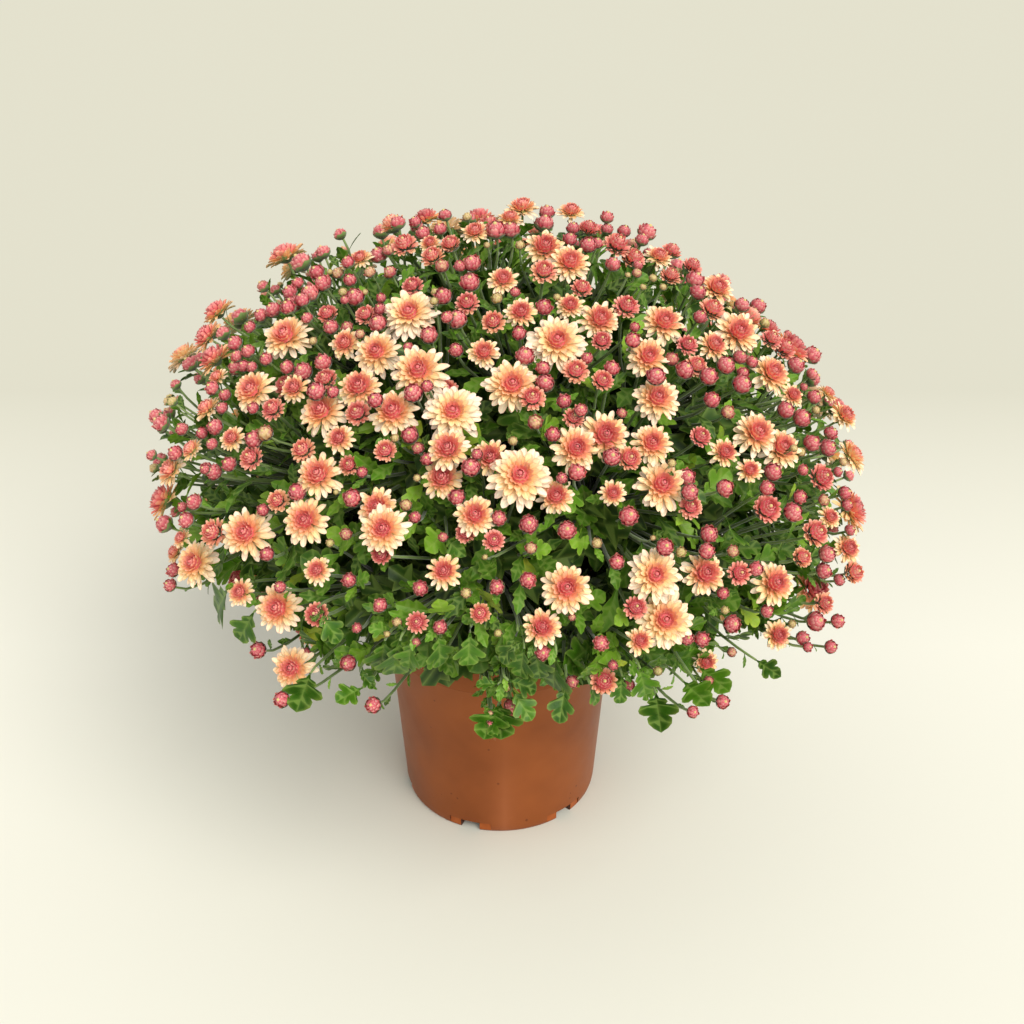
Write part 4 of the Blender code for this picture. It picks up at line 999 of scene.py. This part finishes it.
def grow_seen_leaves(piles, solids, rng):
    """Leaves that the photograph shows standing out of the outline, each on a short stalk."""
    for base_column, base_row, column, row in SEEN_LEAVES:
        tip, _ = seen_point(column, row)
        base, _ = seen_point(base_column, base_row)
        eye, _ = sight_line(column, row)
        owner = solids.owner(base)[0]
        along = np.array(tip - base)
        length = float(np.linalg.norm(along))
        above = np.array((eye - tip).normalized()) + np.array((0, 0, 0.5))
        above = above + rng.uniform(-0.25, 0.25, 3)
        add_leaf(piles[owner], "large", np.array(base), along, above, length * 1.02,
                 rng.uniform(0.82, 1.02), rng, rng.uniform(0.16, 0.38), 0.14)
        inner = canopy_point(canopy_direction(base)[0], 0.80)
        under = base - Vector(along) * 0.4
        leafy_stem(piles[owner], solids.hearts[owner], (inner, under, base), (0.0015, 0.0009), 0.5,
                   (0.6, 0.8), LOW_LEAF_SIZES, rng)


def main_stem(pile, solids, name):
    """The woody stem from the soil to the fork, through the middle of the canopy."""
    foot = solids.feet[name]
    heart = solids.hearts[name]
    collar = Vector((foot.x, foot.y, SOIL_TOP + 0.03))
    knots = (foot, collar, canopy_point(heart, ELBOW), canopy_point(heart, FORK))
    grow_stem(pile, knots, 10, (0.0030, 0.0019), 0.1, 6)


def colour(red, green, blue):
    """A colour from 0 to 255 as the shaders' linear values."""
    parts = []
    for value in (red, green, blue):
        share = value / 255
        parts.append(share / 12.92 if share <= 0.04045 else ((share + 0.055) / 1.055) ** 2.4)
    return (*parts, 1.0)


class Look:
    """A material built node by node."""

    def __init__(self, name, roughness, gloss=0.5):
        self.material = bpy.data.materials.new(name)
        self.material.use_nodes = True
        self.tree = self.material.node_tree
        self.shader = self.tree.nodes["Principled BSDF"]
        self.put("Roughness", roughness)
        self.put("Specular IOR Level", gloss)
        self.place = self.node("NewGeometry").outputs["Position"]

    def node(self, kind, inputs=(), **settings):
        made = self.tree.nodes.new("ShaderNode" + kind)
        for key, value in settings.items():
            setattr(made, key, value)
        for key, value in dict(inputs).items():
            self.feed(made.inputs[key], value)
        return made

    def feed(self, socket, value):
        if isinstance(value, bpy.types.NodeSocket):
            self.tree.links.new(value, socket)
        else:
            socket.default_value = value

    def put(self, name, value):
        self.feed(self.shader.inputs[name], value)

    def math(self, operation, first, second=0.0, clamp=False):
        made = self.node("Math", {0: first, 1: second}, operation=operation)
        made.use_clamp = clamp
        return made.outputs[0]

    def plus(self, first, second, clamp=False):
        return self.math("ADD", first, second, clamp)

    def less(self, first, second, clamp=False):
        """The first less the second."""
        return self.math("SUBTRACT", first, second, clamp)

    def times(self, first, second, clamp=False):
        return self.math("MULTIPLY", first, second, clamp)

    def fade(self, distance, reach):
        """From 1 at no distance to 0 at the reach and beyond."""
        return self.less(1.0, self.math("DIVIDE", distance, reach), clamp=True)

    def ramp(self, value, *stops):
        """A colour by a value: each stop is a place, then red, green and blue to 255."""
        made = self.node("ValToRGB", {"Fac": value})
        band = made.color_ramp
        while len(band.elements) < len(stops):
            band.elements.new(0.5)
        for element, (place, *shade) in zip(band.elements, stops):
            element.position = place
            element.color = colour(*shade)
        return made.outputs["Color"]

    def mix(self, share, first, second, blend="MIX"):
        made = self.node("Mix", data_type="RGBA", blend_type=blend)
        self.feed(made.inputs[0], share)
        self.feed(made.inputs[6], first)
        self.feed(made.inputs[7], second)
        return made.outputs[2]

    def noise(self, scale, detail=4.0, rough=0.5, at=None):
        inputs = {"Scale": scale, "Detail": detail, "Roughness": rough}
        return self.node("TexNoise", {**inputs, "Vector": at or self.place}).outputs["Fac"]

    def drift(self, scale, detail, amount):
        """Noise about nought."""
        return self.times(self.less(self.noise(scale, detail), 0.5), amount)

    def bump(self, height, strength, distance):
        made = self.node("Bump", {"Height": height, "Strength": strength, "Distance": distance})
        self.put("Normal", made.outputs[0])

    def scatter(self, weight, radius):
        """Light that passes through thin petals and leaves."""
        self.put("Subsurface Weight", weight)
        self.put("Subsurface Radius", radius)
        self.put("Subsurface Scale", 1.0)

    def split(self, vector):
        return self.node("SeparateXYZ", {0: vector}).outputs

    def marks(self):
        """The three numbers that each point of a pile carries."""
        return self.split(self.node("Attribute", attribute_name="mark").outputs["Vector"])


def petal_look(name, tips):
    """Petals: cream, apricot, coral or crimson by their tone, with fine lines and paler tips."""
    look = Look(name, 0.55, 0.3)
    tone, along, across = look.marks()
    grain = look.noise(420.0, 3.0)
    base = look.times(look.math("POWER", look.less(1.0, along), 2.0), 0.12)
    reach = look.plus(look.plus(tone, base), look.drift(45.0, 2.0, 0.20))
    shade = look.ramp(look.times(reach, 0.6, clamp=True),
                      (0.00, 255, 248, 224), (0.08, 255, 241, 198), (0.16, 254, 231, 166),
                      (0.25, 254, 212, 150), (0.34, 253, 192, 146), (0.42, 249, 163, 146),
                      (0.50, 236, 132, 132), (0.58, 208, 96, 108), (0.69, 204, 94, 104),
                      (0.77, 224, 190, 140), (0.94, 198, 202, 114))
    lines = look.math("SINE", look.times(across, 9.0))
    lined = look.math("MULTIPLY_ADD", lines, 0.5)
    folds = look.times(look.math("POWER", look.math("ABSOLUTE", across), 2.0), 0.36)
    groove = look.plus(folds, look.times(look.plus(lined, grain), 0.15))
    dark = look.mix(1.0, shade, colour(238, 180, 158), "MULTIPLY")
    edged = look.mix(groove, shade, dark)
    tip = look.times(look.math("POWER", along, 5.0), tips)
    look.put("Base Color", look.mix(tip, edged, colour(252, 214, 190)))
    look.scatter(0.10, (0.004, 0.002, 0.0012))
    look.bump(look.plus(lines, grain), 0.25, 0.0004)
    return look.material


def leaf_look():
    """Leaves: mid greens that differ from leaf to leaf, with paler veins and margins."""
    look = Look("leaves", 0.44, 0.24)
    tone, vein, edge = look.marks()
    shade = look.ramp(look.plus(tone, look.drift(90.0, 4.0, 0.35)),
                      (0.0, 18, 40, 5), (0.25, 46, 86, 10), (0.50, 86, 134, 24),
                      (0.74, 136, 176, 48), (1.0, 204, 202, 66))
    veined = look.mix(look.times(look.math("POWER", vein, 4.0), 0.38), shade, colour(150, 176, 84))
    rim = look.mix(look.times(look.math("POWER", edge, 6.0), 0.30), veined, colour(170, 190, 86))
    look.put("Base Color", rim)
    look.scatter(0.08, (0.001, 0.003, 0.0006))
    look.bump(look.plus(look.noise(700.0, 3.0), look.times(vein, 1.5)), 0.35, 0.0005)
    return look.material


def stem_look():
    """Stems and bracts: downy grey-green, darker and browner low down, partly as woodier stem and
    partly as painted shade inside the canopy.
    """
    look = Look("stems", 0.62)
    tone, along, _ = look.marks()
    # Lower down a stem is darker: partly woodier stem, partly painted shade inside the canopy.
    height = look.times(look.less(along, 0.75), 0.7)
    shade = look.ramp(look.plus(look.plus(tone, look.drift(160.0, 4.0, 0.4)), height, clamp=True),
                      (0.0, 46, 50, 20), (0.30, 74, 94, 34), (0.60, 122, 146, 74),
                      (1.0, 168, 184, 124))
    look.put("Base Color", shade)
    look.put("Sheen Weight", 0.35)
    look.bump(look.noise(1400.0, 2.0), 0.3, 0.0003)
    return look.material


def pot_look():
    """Satin terracotta-coloured plastic: dark specks, scuffs, lime marks, a painted highlight low on
    its front, and painted shade in the crease under the rim band.
    """
    look = Look("terracotta plastic", 0.40, 0.14)
    x, y, z = look.split(look.place)
    shade = look.ramp(look.noise(14.0, 3.0, 0.55), (0.30, 124, 64, 27), (0.70, 146, 79, 36))
    azimuth = look.math("ARCTAN2", y, x)
    lower = look.fade(z, STREAK_TOP)
    # The front pair is a painted highlight, lighter low on the wall that faces the light; the rest
    # are streaks.
    for middle, width, strength in POT_STREAKS_AND_HIGHLIGHT:
        off = look.math("ABSOLUTE", look.less(azimuth, math.radians(middle)))
        near = look.fade(off, math.radians(width))
        soft = look.times(look.times(near, near), lower)
        shade = look.mix(look.times(soft, strength), shade, colour(196, 122, 84))
    specks = look.node("TexVoronoi", {"Vector": look.place, "Scale": 150.0}).outputs["Distance"]
    size = look.times(look.less(look.noise(70.0, 2.0), 0.53), 1.3)
    dots = look.times(look.less(size, specks, clamp=True), 22.0, clamp=True)
    dotted = look.mix(look.times(dots, 0.55), shade, colour(80, 34, 16))
    stretched = look.node("Mapping", {"Vector": look.place, "Scale": (70.0, 70.0, 12.0)}).outputs[0]
    scuff = look.noise(1.0, 6.0, 0.7, stretched)
    lime = look.times(look.less(scuff, 0.68, clamp=True), 5.0, clamp=True)
    marked = look.mix(lime, dotted, colour(206, 168, 138))
    # Painted shade: a thin dark line just under the rim band's step, where its overhang would shade
    # the wall.
    crease = look.math("ABSOLUTE", look.less(z, BAND_BOTTOM - 0.0003))
    painted_shade = look.times(look.fade(crease, CREASE_SHADE_REACH), 0.8)
    look.put("Base Color", look.mix(painted_shade, marked, colour(58, 24, 10)))
    look.put("Roughness", look.plus(look.times(look.noise(30.0, 5.0, 0.6), 0.22), 0.30))
    look.bump(look.plus(look.noise(900.0, 2.0), scuff), 0.12, 0.0003)
    return look.material


def panel_look():
    """The moulded panels round the notches: the same plastic, a little lighter, with painted shade
    just below the panel's top step.
    """
    look = Look("notch panels", 0.42, 0.14)
    shade = look.ramp(look.noise(60.0, 4.0, 0.6), (0.30, 150, 74, 30), (0.70, 172, 92, 42))
    # Painted shade: a dark band just below the panel's top, where the step above would shade it.
    below = look.less(NOTCH_HEIGHT + NOTCH_LIP_RISE, look.split(look.place)[2])
    painted_shade = look.times(look.fade(below, PANEL_SHADE_REACH), 0.9)
    look.put("Base Color", look.mix(painted_shade, shade, colour(58, 26, 12)))
    look.bump(look.noise(900.0, 2.0), 0.10, 0.0003)
    return look.material


def crease_shade_look():
    """Painted shade in the narrow steps and holes of the moulding."""
    look = Look("moulding creases", 0.7)
    grain = look.noise(300.0, 4.0, 0.6)
    # The cut faces of the notches, panel steps and drain holes are painted dark as shade.
    look.put("Base Color", look.ramp(grain, (0.30, 56, 24, 10), (0.70, 92, 44, 20)))
    look.bump(grain, 0.2, 0.0003)
    return look.material


def soil_look():
    """Dark moist peat."""
    look = Look("peat", 0.92)
    crumbs = look.noise(240.0, 6.0, 0.65)
    look.put("Base Color", look.ramp(crumbs, (0.30, 24, 18, 14), (0.62, 58, 42, 30),
                                     (0.80, 104, 78, 54)))
    look.bump(crumbs, 0.9, 0.003)
    return look.material


def paper_look():
    """Pale warm paper, with painted shade that greys it further behind the plant."""
    look = Look("paper", 0.95, 0.0)
    behind = look.less(look.split(look.place)[1], 0.20)
    far = look.math("DIVIDE", behind, 0.65, clamp=True)
    # Painted shade: the paper darkens with distance behind the plant, as the light falls off.
    look.put("Base Color", look.mix(far, colour(222, 220, 206), colour(196, 194, 178)))
    return look.material


def make_plant(solids):
    """Each spray in three pieces: leaves and stems, open blooms, and young flowers."""
    leaf, stem = leaf_look(), stem_look()
    petal, young = petal_look("open petals", 0.45), petal_look("young petals", 0.62)
    rng = np.random.default_rng(SEED)
    leaves, blooms, buds = ({name: Pile() for name in solids.names} for _ in range(3))
    for head in all_heads(solids):
        green = leaves[head.owner]
        grow_stalk(green, head, solids.hearts[head.owner], rng)
        if head.kind == "open":
            open_bloom(blooms[head.owner], head, rng)
            calyx(green, head, rng, 0.42, -0.02)
        elif head.kind == "half":
            half_bloom(buds[head.owner], head, rng)
            calyx(green, head, rng, 0.86, -0.20)
        else:
            closed_bud(buds[head.owner], head, rng)
            calyx(green, head, rng, 1.0, -0.05)
    grow_shoots(leaves, solids, rng)
    grow_skirt(leaves, solids, rng)
    grow_deep_leaves(leaves, solids, rng)
    grow_seen_leaves(leaves, solids, rng)
    for name in solids.names:
        main_stem(leaves[name], solids, name)
        finish_piece(leaves[name].build(name + "_leaves", (leaf, stem)), "foliage", name)
        if blooms[name].size:
            finish_piece(blooms[name].build(name + "_blooms", (petal,)), "open_petals")
        if buds[name].size:
            finish_piece(buds[name].build(name + "_buds", (young,)), "young_petals")


def mesh_object(name, points, faces):
    """A new object from points and faces."""
    mesh = bpy.data.meshes.new(name)
    mesh.from_pydata(points, [], faces)
    return new_object(name, mesh)


def revolve(name, profile, steps):
    """A closed body turned about Z from (radius, height) points, with flat ends."""
    points = [around(radius, math.tau * step / steps, height)
              for radius, height in profile for step in range(steps)]
    faces = grid_faces(1, len(profile), steps, closed=True).tolist()
    last = len(points) - steps
    return mesh_object(name, points, faces + [list(range(steps - 1, -1, -1)),
                                              list(range(last, len(points)))])


def ring_sector(name, inner, outer, low, high, middle, width, steps):
    """A cutter: part of a thick ring, as wide as given along its arc."""
    half = width / 2 / outer
    points = []
    for step in range(steps + 1):
        angle = middle - half + 2 * half * step / steps
        points += [around(inner, angle, low), around(outer, angle, low),
                   around(outer, angle, high), around(inner, angle, high)]
    faces = [(0, 1, 2, 3), tuple(4 * steps + corner for corner in (3, 2, 1, 0))]
    for step in range(steps):
        here = 4 * step
        there = here + 4
        for corner in range(4):
            after = (corner + 1) % 4
            faces.append((here + after, here + corner, there + corner, there + after))
    return mesh_object(name, points, faces)


def drain_cutter(name, azimuth):
    """A cutter for one drain hole in the pot's floor."""
    profile = [(DRAIN_RADIUS, FLOOR_UNDERSIDE - 0.003), (DRAIN_RADIUS, FLOOR_TOP + 0.003)]
    cutter = revolve(name, profile, 24)
    for vertex in cutter.data.vertices:
        vertex.co += around(DRAIN_RING, azimuth, 0)
    return cutter


def cut_away(body, cutters):
    """Cut the cutters from a body, then remove them."""
    for cutter in cutters:
        modifier = body.modifiers.new(cutter.name, "BOOLEAN")
        modifier.operation = "DIFFERENCE"
        modifier.object = cutter
        modifier.solver = "EXACT"
        modifier.material_mode = "TRANSFER"
    graph = bpy.context.evaluated_depsgraph_get()
    mesh = bpy.data.meshes.new_from_object(body.evaluated_get(graph))
    body.modifiers.clear()
    body.data = mesh
    for cutter in cutters:
        bpy.data.objects.remove(cutter)


def wall_radius(height):
    """Outer radius of the pot's tapered wall below its rim band."""
    share = (height - FOOT_HEIGHT) / (BAND_BOTTOM - FOOT_HEIGHT)
    return FOOT_RADIUS + FOOT_FLARE + (WALL_AT_BAND - FOOT_RADIUS - FOOT_FLARE) * share


def pot_profile():
    """The pot's section from under its floor, round its foot and rim, to its inside."""
    fillet_top = FLOOR_TOP + FLOOR_FILLET
    return [(FOOT_INNER_RADIUS - 0.001, FLOOR_UNDERSIDE), (FOOT_INNER_RADIUS, 0.0004),
            (FOOT_INNER_RADIUS + 0.0004, 0), (FOOT_RADIUS - 0.0006, 0), (FOOT_RADIUS, 0.0003),
            (FOOT_RADIUS + 0.0009, 0.0017), (FOOT_RADIUS + 0.0015, 0.0035),
            (FOOT_RADIUS + 0.0020, 0.0064), (wall_radius(FOOT_HEIGHT), FOOT_HEIGHT),
            (WALL_AT_BAND, BAND_BOTTOM - 0.0006), (WALL_AT_BAND + 0.0003, BAND_BOTTOM),
            (WALL_AT_BAND + BAND_STEP, BAND_BOTTOM + 0.0003),
            (WALL_AT_BAND + BAND_STEP + 0.0001, BAND_BOTTOM + 0.0012),
            (RIM_RADIUS, RIM_TOP - 0.0018), (RIM_RADIUS - 0.0002, RIM_TOP - 0.0007),
            (RIM_RADIUS - 0.0009, RIM_TOP), (RIM_RADIUS - 0.0029, RIM_TOP),
            (RIM_RADIUS - 0.0035, RIM_TOP - 0.0006),
            (wall_radius(fillet_top) - WALL, fillet_top),
            (wall_radius(FLOOR_TOP) - WALL - 0.001, FLOOR_TOP)]


def panel_cutter(name, azimuth):
    """A cutter for the shallow panel round a notch. Its inner side is the panel's face."""
    cutter = ring_sector(name, wall_radius(FOOT_HEIGHT) - NOTCH_LIP_DEPTH, FOOT_RADIUS + 0.007,
                         -0.003, NOTCH_HEIGHT + NOTCH_LIP_RISE, azimuth, NOTCH_LIP_WIDTH, 16)
    corners = cutter.data.vertices
    for face in cutter.data.polygons:
        inner = all(math.hypot(*corners[corner].co.xy) < FOOT_RADIUS + 0.003
                    for corner in face.vertices)
        face.material_index = 0 if inner else 1
    return cutter


def make_pot():
    """The tapered pot turned finely, with its rim band, foot, notches and drain holes."""
    pot = revolve("fine_pot", pot_profile(), POT_STEPS)
    panel, crease = panel_look(), crease_shade_look()
    cutters = []
    for index in range(NOTCHES):
        azimuth = FIRST_NOTCH + math.tau * index / NOTCHES
        notch = ring_sector(f"notch_{index}", FOOT_INNER_RADIUS - 0.003, FOOT_RADIUS + 0.006,
                            -0.002, NOTCH_HEIGHT, azimuth, NOTCH_WIDTH, 8)
        lip = panel_cutter(f"lip_{index}", azimuth)
        lip.data.materials.append(panel)
        cutters += [notch, lip, drain_cutter(f"drain_{index}", azimuth)]
    for cutter in cutters:
        cutter.data.materials.append(crease)
    pot.data.materials.append(pot_look())
    cut_away(pot, cutters)
    pot.data.shade_smooth()
    pot.data.set_sharp_from_angle(angle=math.radians(32))
    finish_piece(pot, "pot", "pot")


def finish_piece(piece, slot, *nodes):
    """What every new piece needs: its body, and the nodes that it replaces hidden. The slot is not
    used.
    """
    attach(piece, "root")
    if nodes:
        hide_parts(*nodes)


def make_stage():
    """A level sheet of pale paper, far larger than the plant."""
    corners = [(PAPER_HALF * x, PAPER_HALF * y, 0) for x, y in ((-1, -1), (1, -1), (1, 1), (-1, 1))]
    paper = mesh_object("paper", corners, [(0, 1, 2, 3)])
    paper.data.materials.append(paper_look())


def make_lights():
    """A broad soft sun from the front right, under a pale sky."""
    lamp = bpy.data.lights.new("key", "SUN")
    lamp.energy = SUN_STRENGTH
    lamp.angle = SUN_SPREAD
    lamp.color = (1.0, 0.99, 0.97)
    holder = new_object("key", lamp)
    holder.rotation_euler = SUNLIGHT.to_track_quat("-Z", "Y").to_euler()
    world = bpy.data.worlds.new("studio")
    world.use_nodes = True
    shade = world.node_tree.nodes["Background"]
    shade.inputs["Color"].default_value = (1.0, 1.0, 0.99, 1.0)
    shade.inputs["Strength"].default_value = SKY_STRENGTH
    bpy.context.scene.world = world


def make_camera():
    """The camera at the photograph's eye."""
    lens = bpy.data.cameras.new("camera")
    lens.sensor_width = SENSOR_WIDTH
    lens.lens = SENSOR_WIDTH * FRAME_FOCUS / (2 * FRAME_MIDDLE)
    holder = new_object("camera", lens)
    eye, step = sight_line(FRAME_MIDDLE, FRAME_MIDDLE)
    holder.location = eye
    holder.rotation_euler = step.to_track_quat("-Z", "Y").to_euler()
    bpy.context.scene.camera = holder


def dress(node, material):
    """Give a kept solid its finish."""
    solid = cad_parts[node]
    if not solid.material_slots:
        solid.data.materials.append(material)
    for place in solid.material_slots:
        place.material = material


make_camera()
make_plant(Solids())
make_pot()
dress("soil", soil_look())
make_stage()
make_lights()
bpy.context.scene.view_settings.view_transform = "Standard"
